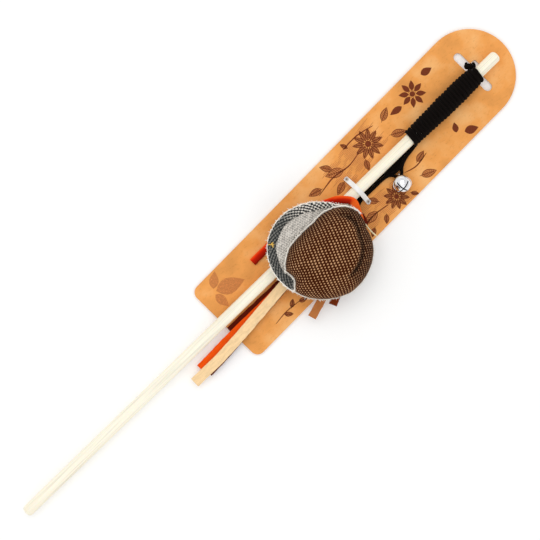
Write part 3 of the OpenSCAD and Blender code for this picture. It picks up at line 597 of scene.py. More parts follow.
def piece_of(name, shape, materials, body, replaces=(), smooth=True, which=None):
    """A mesh piece of the object, from a shape, that rides on a body and stands for CAD nodes."""
    mesh = bpy.data.meshes.new(name)
    mesh.from_pydata([tuple(place(*p)) for p in shape.points], [], shape.faces)
    mesh.validate()
    for material in materials:
        mesh.materials.append(material)
    attribute = mesh.attributes.new("cloth", "FLOAT_VECTOR", "POINT")
    attribute.data.foreach_set(
        "vector", [c for u, v, *light in shape.cloth for c in (u * MM, v * MM, *(light or [0.0]))])
    mesh.polygons.foreach_set("use_smooth", [smooth] * len(mesh.polygons))
    if which:
        mesh.polygons.foreach_set("material_index", which)
    thing = bpy.data.objects.new(name, mesh)
    bpy.context.scene.collection.objects.link(thing)
    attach(thing, body)
    if replaces:
        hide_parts(*replaces)
    return thing


def dress(names, material):
    """Gives CAD nodes a material in place of their own."""
    for name in names:
        NODES[name].data.materials.clear()
        NODES[name].data.materials.append(material)


# Lure surfaces
def oval_r(angle):
    """Distance of the lure's oval rim from its middle, at an angle in degrees."""
    turn = math.radians(angle - LURE_TURN)
    return 1 / math.hypot(math.cos(turn) / LURE_LONG_R, math.sin(turn) / LURE_SHORT_R)


def from_middle(angle, reach):
    """A place at an angle in degrees and a distance from the lure's middle."""
    turn = math.radians(angle)
    return LURE_X + reach * math.cos(turn), LURE_Y + reach * math.sin(turn)


def cup_z(x, y):
    """Height of the denim cup's underside."""
    angle = math.degrees(math.atan2(y - LURE_Y, x - LURE_X))
    return LURE_Z + LURE_RISE * (math.hypot(x - LURE_X, y - LURE_Y) / oval_r(angle)) ** 2


def turn_from(a, b):
    """Turn from one angle to another in degrees, between -180 and 180."""
    return (a - b + 540) % 360 - 180


def tweed_outline(angle, share=1.0):
    """Place of the tweed's edge from its middle, or of a share of the way to it."""
    share *= 1 + sum(change * math.cos(math.radians(min(90, abs(turn_from(angle, at)) * rate)))
                     for at, change, rate in EDGE_SHARES)
    return share * DOME_A * math.cos(math.radians(angle)), share * DOME_B * math.sin(math.radians(angle))


def crease_share(angle):
    """Share of the tweed's reach at which its crease runs."""
    return 0.665 + 0.0014 * angle


def crease_window(angle):
    """Strength of the crease and of the gathers beyond it, 1 over the upper right side and 0 elsewhere."""
    middle, half, soft = 66, 50, 18
    return min(1, max(0, 1 - (abs(turn_from(angle, middle)) - half) / soft))


def weave_height(u, v):
    """Height of the tweed's weave at a place on the cloth, between -1 and 1."""
    return sum(strength * math.cos(2 * math.pi * (wx * u + wy * v)) for (wx, wy), strength in WEAVE_WAVES)


def tweed_swell(angle, share):
    """Height share of the stuffed tweed, 1 at its middle and 0 at its edge, with its crease."""
    fold = 0.26 * crease_window(angle) * math.exp(-((share - crease_share(angle)) / 0.04) ** 2)
    return max(0, 1 - share ** 2.6) ** 0.55 * (1 - fold)


class WAND_OT_stage(bpy.types.Operator):
    """Camera over the wand at the photograph's angle, pale floor and soft light from the left"""

    bl_idname = "wand.stage"
    bl_label = "Stage"

    def execute(self, context):
        scene = context.scene
        # The picture is square and covers 330.5 mm, with the stick from lower left to upper right
        field_mm = 330.5
        middle_x, middle_y, stick_turn = -2.4, 210.6, 45.8
        camera = bpy.data.cameras.new("camera")
        camera.lens = 120
        camera.sensor_width = 36
        eye = bpy.data.objects.new("camera", camera)
        away_mm = field_mm * camera.lens / camera.sensor_width
        eye.location = place(middle_x, middle_y, AXIS_Z + away_mm)
        eye.rotation_euler = (0, 0, math.radians(stick_turn))
        scene.collection.objects.link(eye)
        scene.camera = eye
        self.floor(scene)
        self.light(scene)
        scene.view_settings.view_transform = "Standard"
        return {"FINISHED"}

    def floor(self, scene):
        """A wide sheet of pale paper under the card."""
        reach = 4.0
        mesh = bpy.data.meshes.new("floor")
        mesh.from_pydata(
            [(-reach, -reach, 0), (reach, -reach, 0), (reach, reach, 0), (-reach, reach, 0)],
            [], [(0, 1, 2, 3)])
        mesh.materials.append(material_of("pale_paper_floor", pale_paper))
        floor = bpy.data.objects.new("floor", mesh)
        scene.collection.objects.link(floor)

    def light(self, scene):
        """Even white surroundings, with a soft key from the left and a weaker fill from the right."""
        world = bpy.data.worlds.new("studio")
        world.use_nodes = True
        background = world.node_tree.nodes["Background"]
        background.inputs["Color"].default_value = WHITE
        background.inputs["Strength"].default_value = 0.85
        scene.world = world
        for name, spot_at, size, power in (
                ("key", (-0.3, 0.2, 1.3), 1.1, 4.5),
                ("fill", (0.6, -0.5, 1.3), 1.3, 1.3)):
            lamp = bpy.data.lights.new(name, "AREA")
            lamp.size = size
            lamp.energy = power
            light = bpy.data.objects.new(name, lamp)
            light.location = spot_at
            light.rotation_euler = (-Vector(spot_at)).to_track_quat("-Z", "Y").to_euler()
            scene.collection.objects.link(light)


class WAND_OT_cord(bpy.types.Operator):
    """Black elastic cord: wound layers on the stick, its knots, and its run to the laces"""

    bl_idname = "wand.cord"
    bl_label = "Elastic cord"

    def execute(self, context):
        elastic = material_of("braided_elastic", braided_elastic, context.scene.wand_colours.elastic)
        for name, make, node in (
                ("elastic_cord_run", self.run_to_laces, "cord_run"),
                ("wound_elastic", self.outer_turns, "cord_winding"),
                ("inner_elastic_turns", self.inner_turns, "winding_core"),
                ("winding_end_knot", self.end_knot, "winding_knot"),
                ("cord_tied_round_laces", self.tied_cord, "lure_knot")):
            shape = Shape()
            make(shape)
            piece_of(name, shape, [elastic], "wand", [node])
        return {"FINISHED"}

    def run_to_laces(self, shape):
        """The strands from the winding, through the bell's eye, to the knot, a little swollen; the swelling,
        the straight strand and the extra crossings also fill the deep shade by the stick with black, as
        painted shade.
        """
        strand_r = CORD_R * 1.08
        for route in (CORD_ROUTE, STRAIGHT_ROUTE, HITCH_ROUTE, *SHADE_FILLING_ROUTES):
            shape.tube(curve_through(route, 0.6), strand_r, CORD_SIDES, round_ends=False)

    def winding_r(self, share):
        """Outer radius of the winding at a share of its length."""
        return WINDING_END_R + WINDING_SWELL * math.sin(math.pi * share ** WINDING_POWER)

    def outer_turns(self, shape):
        """The outer turns, pressed flat against each other, with a little wander from turn to turn."""
        steps_a_turn = 40
        count = round(TURNS * steps_a_turn)
        line = []
        for i in range(count + 1):
            share = i / count
            angle = 2 * math.pi * TURNS * share
            c, s = math.cos(angle), math.sin(angle)
            wander = 0.3 * noise.noise(Vector((c, s, share * 26)))
            lump = 0.32 * noise.noise(Vector((c * 0.6, s * 0.6, share * 11)))
            r = self.winding_r(share) - CORD_R + wander * 0.7 + lump * min(1, 20 * share * (1 - share))
            line.append(Vector((r * c, TURNS_LOW + TURNS_L * share + wander, AXIS_Z + r * s)))
        line.insert(0, line[0] - Vector((0, 0, 2 * CORD_R)))
        frames = []
        for i, p in enumerate(line):
            tangent = tangent_at(line, i)
            out = Vector((p.x, 0, p.z - AXIS_Z))
            out = (out - tangent * out.dot(tangent)).normalized()
            frames.append((tangent, tangent.cross(out), out))
        overlap = 1.02
        half_w = TURNS_L / TURNS / 2 * overlap
        shape.tube(line, CORD_R, CORD_SIDES, round_ends=False, frames=frames, wide=half_w / CORD_R)

    def inner_turns(self, shape):
        """The inner turns, seen only between the outer ones, as a ribbed sleeve."""
        around, along, rib = 64, 240, 0.12
        rings = []
        for share in (i / along for i in range(along + 1)):
            ribbed = rib * (math.cos(2 * math.pi * TURNS * share) - 1)
            rings.append((self.winding_r(share) - 2 * CORD_R - GAP + ribbed, TURNS_LOW + TURNS_L * share))
        stick_r = (STICK_BOX[1].x - STICK_BOX[0].x) / 2 / MM
        rings += [(stick_r, TURNS_LOW + TURNS_L), (stick_r, TURNS_LOW)]
        for r, y in rings:
            for a in turn_steps(around):
                shape.dot(Vector((r * math.cos(a), y, AXIS_Z + r * math.sin(a))), (r * a, y))
        last = (len(rings) - 1) * around
        shape.grid(0, len(rings) - 1, around, flip=True)
        shape.grid(last, 1, around, flip=True, stride=-last)

    def end_knot(self, shape):
        """The knot at the winding's top: lumps of crossing loops, and two cut ends."""
        for at, lump_r in KNOT_LUMPS:
            middle = KNOT_MIDDLE + Vector(at)
            for turn, lean in ((0, 20), (60, -35), (120, 50)):
                tilt = tilted(turn, "Y", lean) * lump_r * LOOP_SHARE
                ring = [middle + tilt @ Vector((math.cos(a), math.sin(a), 0.15 * math.sin(3 * a)))
                        for a in turn_steps(24, closed=True)]
                shape.tube(ring, lump_r * STRAND_SHARE, 10)
        for (at, lump_r), way in zip(KNOT_LUMPS[1:], ((-2.0, 0.9, 0), (-1.2, 1.6, 0))):
            start = KNOT_MIDDLE + Vector(at)
            end = start + Vector(way)
            shape.tube(curve_through([start, start.lerp(end, 0.5), end], 0.5), CORD_R * 0.94, 12,
                       section=lambda angle, run: 1 + 0.03 * math.cos(5 * angle))

    def tied_cord(self, shape):
        """The cord tied round the laces, with its small knot on the left."""
        half_w = LOOP_HALF_W - LOOP_CORNER_R
        half_h = (LOOP_HIGH - LOOP_LOW) / 2 - LOOP_CORNER_R
        centre = Vector((KNOT_X, KNOT_Y, (LOOP_HIGH + LOOP_LOW) / 2))
        steps = 8
        ring = []
        for quarter, (cx, cz) in enumerate(((1, 1), (-1, 1), (-1, -1), (1, -1))):
            for k in range(steps + 1):
                a = math.radians(90 * (quarter + k / steps))
                ring.append(centre + Vector((cx * half_w + LOOP_CORNER_R * math.cos(a), 0,
                                             cz * half_h + LOOP_CORNER_R * math.sin(a))))
        ring.append(ring[0])
        shape.tube(curve_through(ring, 0.5), CORD_R, CORD_SIDES, up=(0, 1, 0), round_ends=False)
        knot = Vector((KNOT_X - LOOP_HALF_W + 0.3, KNOT_Y + 1.0, LOOP_LOW + 1.5))
        knot_r = 0.55
        for turn in (15, 75, 135):
            tilt = tilted(turn, "Z", 70) * knot_r
            loop = [knot + tilt @ Vector((math.cos(a), math.sin(a), 0)) for a in turn_steps(16, closed=True)]
            shape.tube(loop, knot_r, 8)


class WAND_OT_card(bpy.types.Operator):
    """Kraft card with a generic printed flower design, and the plastic ties and buttons"""

    bl_idname = "wand.card"
    bl_label = "Card and ties"

    def execute(self, context):
        colours = context.scene.wand_colours
        dress(["card"], material_of("uncoated_kraft_board", uncoated_kraft_board, colours.kraft))
        pegs = []
        for name in ("upper_tie", "lower_tie"):
            low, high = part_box(name)
            half = TIE_W / 2 * MM
            pegs += [Vector((x, (low.y + high.y) / 2, 0)) for x in (low.x + half, high.x - half)]
        dress(["upper_tie", "lower_tie", "tie_buttons"],
              material_of("moulded_polypropylene", moulded_polypropylene, colours.plastic, pegs))
        # Three films of ink, one just over the other, where the drawing's areas lie over each other
        film = CARD_HIGH + 0.02
        self.high = {"dark": film, "pale": film - 0.01, "ground": film - 0.016}
        self.films = {ink: Shape() for ink in self.high}
        self.draw_top()
        self.draw_middle()
        self.draw_foot()
        dark = material_of("dark_printed_ink", printed_ink, colours.dark_ink)
        pale = material_of("pale_printed_ink", printed_ink, colours.pale_ink)
        for name, ink, material in (
                ("flower_lines_print", "dark", dark), ("flower_tint_print", "pale", pale),
                ("flower_shading_print", "ground", pale)):
            piece_of(name, self.films[ink], [material], "pack", smooth=False)
        return {"FINISHED"}

    def stroke(self, ink, points, width):
        """One drawn line, thin at both ends."""
        shape = self.films[ink]
        line = curve_through([(x, y, self.high[ink]) for x, y in points], 0.6)
        runs = lengths_along(line)
        first = len(shape.points)
        for p, (tangent, side, normal), run in zip(line, frames_along(line, (0, 0, 1)), runs):
            half = width / 2 * (0.25 + 0.75 * math.sin(math.pi * (run / runs[-1])) ** 0.5)
            shape.dot(p - side * half)
            shape.dot(p + side * half)
        for a in range(first, len(shape.points) - 2, 2):
            shape.faces.append((a, a + 2, a + 3, a + 1))

    def patch(self, ink, outline):
        """One area filled with ink, its outline counterclockwise."""
        shape = self.films[ink]
        shape.faces.append(tuple(range(len(shape.points), len(shape.points) + len(outline))))
        for x, y in outline:
            shape.dot(Vector((x, y, self.high[ink])))

    def leaf(self, x, y, angle, length, solid=None, fat=0.23):
        """A pointed leaf, solid in one ink, or drawn with a midrib, veins and shading over a tint."""
        c, s = math.cos(math.radians(angle)), math.sin(math.radians(angle))

        def at(u, v):
            """A place on the leaf, in shares of its length."""
            return x + (u * c - v * s) * length, y + (u * s + v * c) * length

        def half(u):
            """Half the leaf's width at a share of its length."""
            return fat * math.sin(math.pi * u ** 0.8)

        shares = (0, 0.12, 0.26, 0.42, 0.6, 0.78, 0.9, 1)
        edges = {side: [at(u, side * half(u)) for u in shares] for side in (-1, 1)}
        self.patch(solid or "pale", edges[-1] + edges[1][-2:0:-1])
        if solid:
            return
        line_w = 0.5
        for side in (-1, 1):
            self.stroke("dark", edges[side], line_w)
        self.stroke("dark", [at(-0.12, 0.02), at(0.4, 0.01), at(0.94, 0)], line_w)
        veins = 6
        last_vein = 0.7
        for u in (last_vein * k / veins for k in range(1, veins + 1)):
            for side, vein_w in ((-1, 0.42), (1, 0.3)):
                reach = 0.85 * half(u + 0.12) * side
                self.stroke("dark", [at(u, 0), at(u + 0.1, reach * 0.6), at(u + 0.16, reach)], vein_w)

    def disc(self, x, y, radius, sides=24):
        """A round patch of the dark ink."""
        self.patch("dark", [(x + radius * math.cos(a), y + radius * math.sin(a)) for a in turn_steps(sides)])

    def flower(self, x, y, reach, petals, solid=None):
        """A flower head: petals round a dark middle that has a ring of dots."""
        for k in range(petals):
            turn = 360 * k / petals + 7
            c, s = math.cos(math.radians(turn)), math.sin(math.radians(turn))
            self.leaf(x + 0.26 * reach * c, y + 0.26 * reach * s, turn, 0.74 * reach, solid, 2.1 / petals)
        self.disc(x, y, 0.2 * reach)
        for a in turn_steps(14):
            self.disc(x + 0.27 * reach * math.cos(a), y + 0.27 * reach * math.sin(a), 0.035 * reach, 8)

    def hatch(self, x, y, angle, width, height, lines):
        """Rows of short pale strokes that shade the ground behind a drawing."""
        c, s = math.cos(math.radians(angle)), math.sin(math.radians(angle))
        for k in range(lines):
            across = width * (k / (lines - 1) - 0.5)
            for row in (-1, 0, 1):
                middle = height * (row / 3 + 0.05 * math.sin(5.1 * k + row))
                half = height * (0.13 + 0.03 * math.sin(3.7 * k + 2 * row))
                self.stroke("ground", [(x + across * c - v * s, y + across * s + v * c)
                                       for v in (middle - half, middle, middle + half)], 0.5)

    def draw_top(self):
        """One solid flower high on the left, and solid leaves beside it."""
        self.flower(-19, 349, 8.6, 8, "dark")
        self.leaf(-18, 339, 262, 9, "dark")
        for x, y, angle, length in ((-24, 361, 78, 8), (20, 356, 64, 9), (17, 352, 150, 6.5)):
            self.leaf(x, y, angle, length, "dark", 0.3)

    def draw_middle(self):
        """Drawn flowers low on both sides of the stick, over shading and leaves."""
        self.hatch(-15.5, 297, 8, 18, 44, 22)
        self.hatch(17.5, 290, -6, 15, 40, 18)
        for x, y, angle, length in (
                (-10, 322, 62, 10), (-20, 324, 118, 9), (-10, 300, 335, 7), (-23, 297, 200, 5),
                (-15, 286, 246, 12), (-9.5, 281, 290, 9), (-20, 281, 215, 8), (-16, 268, 255, 9),
                (14, 288, 220, 8), (23, 286, 318, 6), (18, 283, 270, 11), (13, 276, 235, 7),
                (24, 275, 300, 6), (13, 322, 105, 8), (21, 318, 66, 10), (24, 306, 40, 5)):
            self.leaf(x, y, angle, length)
        self.flower(-16, 308, 9.6, 11)
        self.flower(19.5, 298, 8, 10)
        for points in (
                [(-16, 300), (-14.5, 290), (-16, 278), (-14, 264)],
                [(19.5, 291), (18, 280), (19, 270), (17, 262)],
                [(-22, 318), (-24.5, 306), (-24, 294)], [(12.5, 312), (14.5, 320), (13, 330)]):
            self.stroke("dark", points, 0.8)

    def draw_foot(self):
        """Three solid leaves in the pale ink, low on the left, and a small drawn twig on the right."""
        for angle, length in ((68, 19), (4, 11), (132, 11)):
            turn = math.radians(angle)
            self.leaf(-17 + 2 * math.cos(turn), 176 + 2 * math.sin(turn), angle, length, "pale", 0.27)
        for x, y, angle in ((23.5, 198, 50), (23.5, 204, 128), (24, 210, 70)):
            self.leaf(x, y, angle, 5.5)
        self.stroke("dark", [(24, 190), (23, 200), (24, 211)], 0.6)


class WAND_OT_stick_and_bell(bpy.types.Operator):
    """Sanded birch stick, and the plated jingle bell with its ball"""

    bl_idname = "wand.stick_and_bell"
    bl_label = "Stick and bell"

    def execute(self, context):
        low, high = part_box("bell_top")
        middle = (low + high) / 2
        middle.z = low.z
        hollow = (middle, (high.x - low.x) / 2)
        dress(["stick"], material_of("sanded_birch", sanded_birch, context.scene.wand_colours.birch))
        dress(["bell_top", "bell_bottom", "bell_eye"],
              material_of("bright_nickel_plating", bright_metal, linear("#F2F2F4"), 0.07, 0.1, hollow))
        dress(["bell_pellet"], material_of("tumbled_steel", bright_metal, linear("#9A9CA0"), 0.28, 0.15))
        return {"FINISHED"}


class WAND_OT_laces(bpy.types.Operator):
    """Suede laces tied at the lure's top"""

    bl_idname = "wand.laces"
    bl_label = "Suede laces"

    def execute(self, context):
        colours = context.scene.wand_colours
        thickness = context.scene.wand_sizes.lace_thickness
        thin = THIN_T / LACE_T * thickness

        def suede(name, base, *turned):
            """The suede of one lace."""
            return material_of(f"napped_{name}_suede", dyed_suede, base, *turned)

        brown = suede("brown", colours.brown)
        # Route as shares of the longest lace's reach, with a share of the drop where it doesn't follow
        # the lure's lower edge; heights at the knot and when down; width at the knot and past it
        laces = {
            "folded_orange_lace": (
                [(0.045, -0.03, 0.106), (0.0235, -0.016, 0.1), (-0.004, -0.002, 0.05), (-0.039, 0.011, 0),
                 (-0.069, -0.0055, 0.0625), (-0.0995, -0.0415, 0.1875), (-0.128, -0.11, 0.375),
                 (-0.1485, -0.235, 0.6875), (-0.154, -0.373, 0.9375), (-0.154, -0.4685, 1)],
                (18.45, 2.0), 5.2, 5.0, thickness,
                suede("folded_orange", colours.lit_orange, colours.red, 13.9, 27), "orange_suede", "lure"),
            # The tan lace's short tail is darker than the rest: the suede with painted shade under the lure's
            # edge
            "short_tan_lace": (
                [(-0.002, 0.0083), (0, 0), (0.014, -0.0345), (0.055, -0.11), (0.1035, -0.214),
                 (0.145, -0.318), (0.171, -0.394), (0.1885, -0.451)],
                (9.78, 7.63), TIED_W, 5.4, thin,
                suede("light_brown", colours.light_brown), "light_brown_suede", "lure"),
            "short_brown_lace": (
                [(-0.0035, 0.0083), (0, 0), (0.0205, -0.0275), (0.076, -0.107), (0.138, -0.214),
                 (0.1865, -0.297), (0.212, -0.351)],
                (10.96, 8.76), TIED_W, 5.4, thin, suede("chestnut", colours.chestnut), "brown_suede", "lure"),
            "brown_lace_fold": (
                [(0.0165, -0.0055, 0), (0.044, -0.011, 0), (0.0665, -0.026, 1)],
                (15.05, 15.45), TIED_W, TIED_W, thin, brown, "brown_suede", "lure"),
            # The brown lace beside the stick also stands in for the stick's deep shade on the card there:
            # partly lace, partly painted shade
            "brown_lace": (
                [(0, 0.0125), (0, 0), (-0.0008, -0.0415), (-0.002, -0.11), (-0.0069, -0.37),
                 (-0.0138, -0.741)],
                (4.1, 1.95), TIED_W, 4.8, thickness, brown, "brown_suede", "brown_tail"),
            "orange_lace": (
                [(0, 0.0125), (0, 0), (0.0015, -0.0415), (0.0055, -0.11), (0.0095, -0.235),
                 (0.0105, -0.36), (0.0105, -0.58), (0.0115, -0.788), (0.014, -0.857), (0.0165, -0.942)],
                (5.5, 3.3), TIED_W, 6.2, thickness,
                suede("orange", colours.orange), "orange_suede", "orange_tail"),
            "dark_lace": (
                [(0, 0.0125), (0, 0), (0.0015, -0.0415), (0.004, -0.11), (0.007, -0.235), (0.0095, -0.36),
                 (0.015, -0.456), (0.035, -0.691), (0.0455, -0.802), (0.0495, -0.857), (0.0525, -0.9295)],
                (6.9, 4.65), TIED_W, 5.4, thin, brown, "brown_suede", "tan_tails"),
            "tan_lace": (
                [(0, 0.0125), (0, 0), (0, -0.0415), (0.0025, -0.11), (0.007, -0.235), (0.0075, -0.36),
                 (0.007, -0.435), (0.014, -0.511), (0.035, -0.743), (0.0415, -0.857), (0.0415, -0.926),
                 (0.041, -1)],
                (8.08, 5.78), TIED_W, 6.6, thickness, suede("tan", colours.tan), "tan_suede", "tan_tails"),
        }
        for name, (shares, (high, low), first_w, full_w, thick, material, slot, body) in laces.items():
            route = []
            for x, y, *drop in shares:
                fall = drop[0] if drop else max(0, -y) / LOWER_EDGE_SHARE
                route.append((KNOT_X + x * LACE_REACH, KNOT_Y + y * LACE_REACH,
                              high + (low - high) * fall + thick / 2))
            shape = Shape()
            self.add_lace(shape, route, first_w, full_w, thick, len(name))
            piece_of("suede_" + name, shape, [material], body, [name])
        return {"FINISHED"}

    def add_lace(self, shape, route, first_w, full_w, thick, seed):
        """A flat cut strip with soft edges that wander a little, as hand cut suede does."""
        line = curve_through(route, 0.8)
        widen = (Vector(route[2]) - Vector(route[0])).length if len(route) > 3 else 1.0
        sides = 16
        section = []
        for a in turn_steps(sides):
            c, s = math.cos(a + math.pi / sides), math.sin(a + math.pi / sides)
            section.append((math.copysign(abs(c) ** 0.35, c), math.copysign(abs(s) ** 0.6, s)))
        for i, (p, run) in enumerate(zip(line, lengths_along(line))):
            tangent = tangent_at(line, i)
            side = Vector((-tangent.y, tangent.x, 0)).normalized()
            up = tangent.cross(side)
            if up.z < 0:
                up = -up
            share = min(1, run / widen)
            width = first_w + (full_w - first_w) * share * share * (3 - 2 * share)
            for u, v in section:
                wander = 0.18 * noise.noise(Vector((run * 0.35, seed * 3.7 + (9 if u > 0 else 0), 0.5)))
                half = width / 2 * 0.98 + wander
                shape.dot(p + side * u * half + up * v * thick * 0.47, (u * half, run))
        shape.grid(0, len(line) - 1, sides)
        shape.caps(0, len(line) - 1, sides)


class WAND_OT_denim(bpy.types.Operator):
    """Shallow denim cup with a turned hem, its sewing thread and its loop on the cord"""

    bl_idname = "wand.denim"
    bl_label = "Denim cup"

    def execute(self, context):
        colours = context.scene.wand_colours
        pitch = context.scene.wand_sizes.twill_pitch
        fade = [math.radians(angle) * LURE_SHORT_R * MM for angle in (160, 190)]
        face = material_of("denim_twill_face", denim_twill, colours.denim_dark, colours.denim_light,
                           pitch, 0.68, 1.0, fade)
        back = material_of("denim_wrong_side", denim_twill, shade(colours.lining, 0.6), colours.lining,
                           pitch * 0.6, 0.6, 5.0)
        cup = self.cup(face, back)
        hem = self.hem(face)
        self.thread_end(material_of("yellow_sewing_thread", soft_fibre, colours.yellow, 0.3))
        self.yarn_end(material_of("plied_cream_yarn", soft_fibre, colours.cream, 0.4))
        self.sewn_loop(material_of("braided_elastic", braided_elastic, colours.elastic))
        return {"FINISHED"}

    def cup(self, face, back):
        """The cup's cloth: two layers from the middle to the rim, with a small ripple."""
        rings, sides = 48, 176
        shape = Shape()
        for height in (0.03, CLOTH_T * 0.94):
            for share in (r / rings for r in range(rings + 1)):
                for a in turn_steps(sides):
                    reach = oval_r(math.degrees(a)) * share * (1 + 0.006 * share ** 4 * math.sin(9 * a + 1))
                    x, y = from_middle(math.degrees(a), reach)
                    uneven = noise.noise(Vector((x * 0.16, y * 0.16, 2.0)))
                    ripple = 0.2 * share ** 4 * math.sin(7 * a) + 0.12 * share ** 2 * uneven
                    shape.dot(Vector((x, y, cup_z(x, y) + ripple + height)),
                              (reach * math.cos(a), reach * math.sin(a)))
        layer = (rings + 1) * sides
        shape.grid(0, rings, sides)
        shape.grid(layer, rings, sides, flip=True)
        shape.grid(rings * sides, 1, sides, stride=layer)
        which = [0] * rings * sides + [1] * rings * sides + [0] * sides
        return piece_of("denim_cup_cloth", shape, [face, back], "lure", ["denim_cup"], which=which)

    def hem(self, face):
        """The hem: a flat roll turned over the left of the rim."""
        steps, sides = 120, 14
        shape = Shape()
        for i in range(steps + 1):
            angle = HEM_FROM + (HEM_TO - HEM_FROM) * i / steps
            a = math.radians(angle)
            taper = min(1, 0.35 + (angle - HEM_FROM) / 40, 0.55 + (HEM_TO - angle) / 14)
            width = HEM_W * taper * (1 + 0.05 * math.sin(11 * a))
            for k, t in enumerate(turn_steps(sides)):
                u = math.copysign(abs(math.cos(t)) ** 0.55, math.cos(t))
                v = math.copysign(abs(math.sin(t)) ** 0.8, math.sin(t))
                reach = oval_r(angle) - width / 2 + 0.1 + u * width / 2
                x, y = from_middle(angle, reach)
                pucker = 0.14 * math.sin(46 * a) * (0.5 - u / 2)
                z = cup_z(x, y) + CLOTH_T + GAP * 1.6 + CLOTH_T * (0.5 + v * 0.5) + pucker
                shape.dot(Vector((x, y, z)), (reach + 0.1 * k, a * LURE_SHORT_R))
        shape.grid(0, steps, sides, flip=True)
        shape.caps(0, steps, sides, flip=True)
        return piece_of("denim_turned_hem", shape, [face], "lure", ["denim_hem"])

    def thread_end(self, thread):
        """The end of yellow thread, knotted on the hem."""
        x, y = from_middle(219, oval_r(219) - HEM_W / 2)
        knot = Vector((x, y, cup_z(x, y) + 2 * CLOTH_T + 2 * GAP))
        shape = Shape()
        for route in (
                [(-1.6, -1.6, 1.5), (-0.5, -0.6, 1.5), (0, 0, 1.3), (1.6, -0.8, 0.7)],
                [(-0.6, 1.3, 0.7), (-0.2, 0.2, 1.3), (0.7, -0.6, 1.0)],
                [(0.9, 0.7, 0.5), (0, 0.1, 1.4), (-1.0, 0.2, 1.5)]):
            shape.tube(curve_through([knot + Vector(p) for p in route], 0.25), 0.3, 8,
                       section=plied(3, 1.4, 0.16))
        piece_of("yellow_thread_end", shape, [thread], "lure", ["hem_thread"])

    def yarn_end(self, yarn):
        """The loose end of cream yarn at the rim."""
        places = ((76, 1.03, 1.02), (70, 1.04, 1.04), (65, 1.065, 1.05), (60, 1.115, 1.02))
        route = [(*from_middle(angle, oval_r(angle) * out), LURE_Z + LURE_RISE * rise)
                 for angle, out, rise in places]
        shape = Shape()
        shape.tube(curve_through(route, 0.25), 0.42, 9, section=plied(3, 1.8, 0.18))
        piece_of("cream_yarn_end", shape, [yarn], "lure", ["loose_yarn"])

    def sewn_loop(self, elastic):
        """The sewn loop that holds the lure on the tied cord."""
        loop_r = 0.45
        ring_r = CORD_R + GAP + 0.05 + loop_r
        ring = [Vector((KNOT_X, KNOT_Y + ring_r * math.cos(a), LOOP_HIGH + ring_r * math.sin(a)))
                for a in turn_steps(28, closed=True)]
        foot_y = KNOT_Y - 5.5
        foot = Vector((KNOT_X, foot_y, cup_z(KNOT_X, foot_y) - 0.2))
        start = Vector((KNOT_X, KNOT_Y - ring_r, LOOP_HIGH))
        shape = Shape()
        twist = plied(3, 2.2, 0.12)
        shape.tube(ring, loop_r, 10, up=(1, 0, 0), section=twist, round_ends=False)
        shape.tube(curve_through([start, start.lerp(foot, 0.5), foot], 0.4), 0.43, 10,
                   up=(1, 0, 0), section=twist)
        piece_of("sewn_loop", shape, [elastic], "lure", ["lure_loop"])


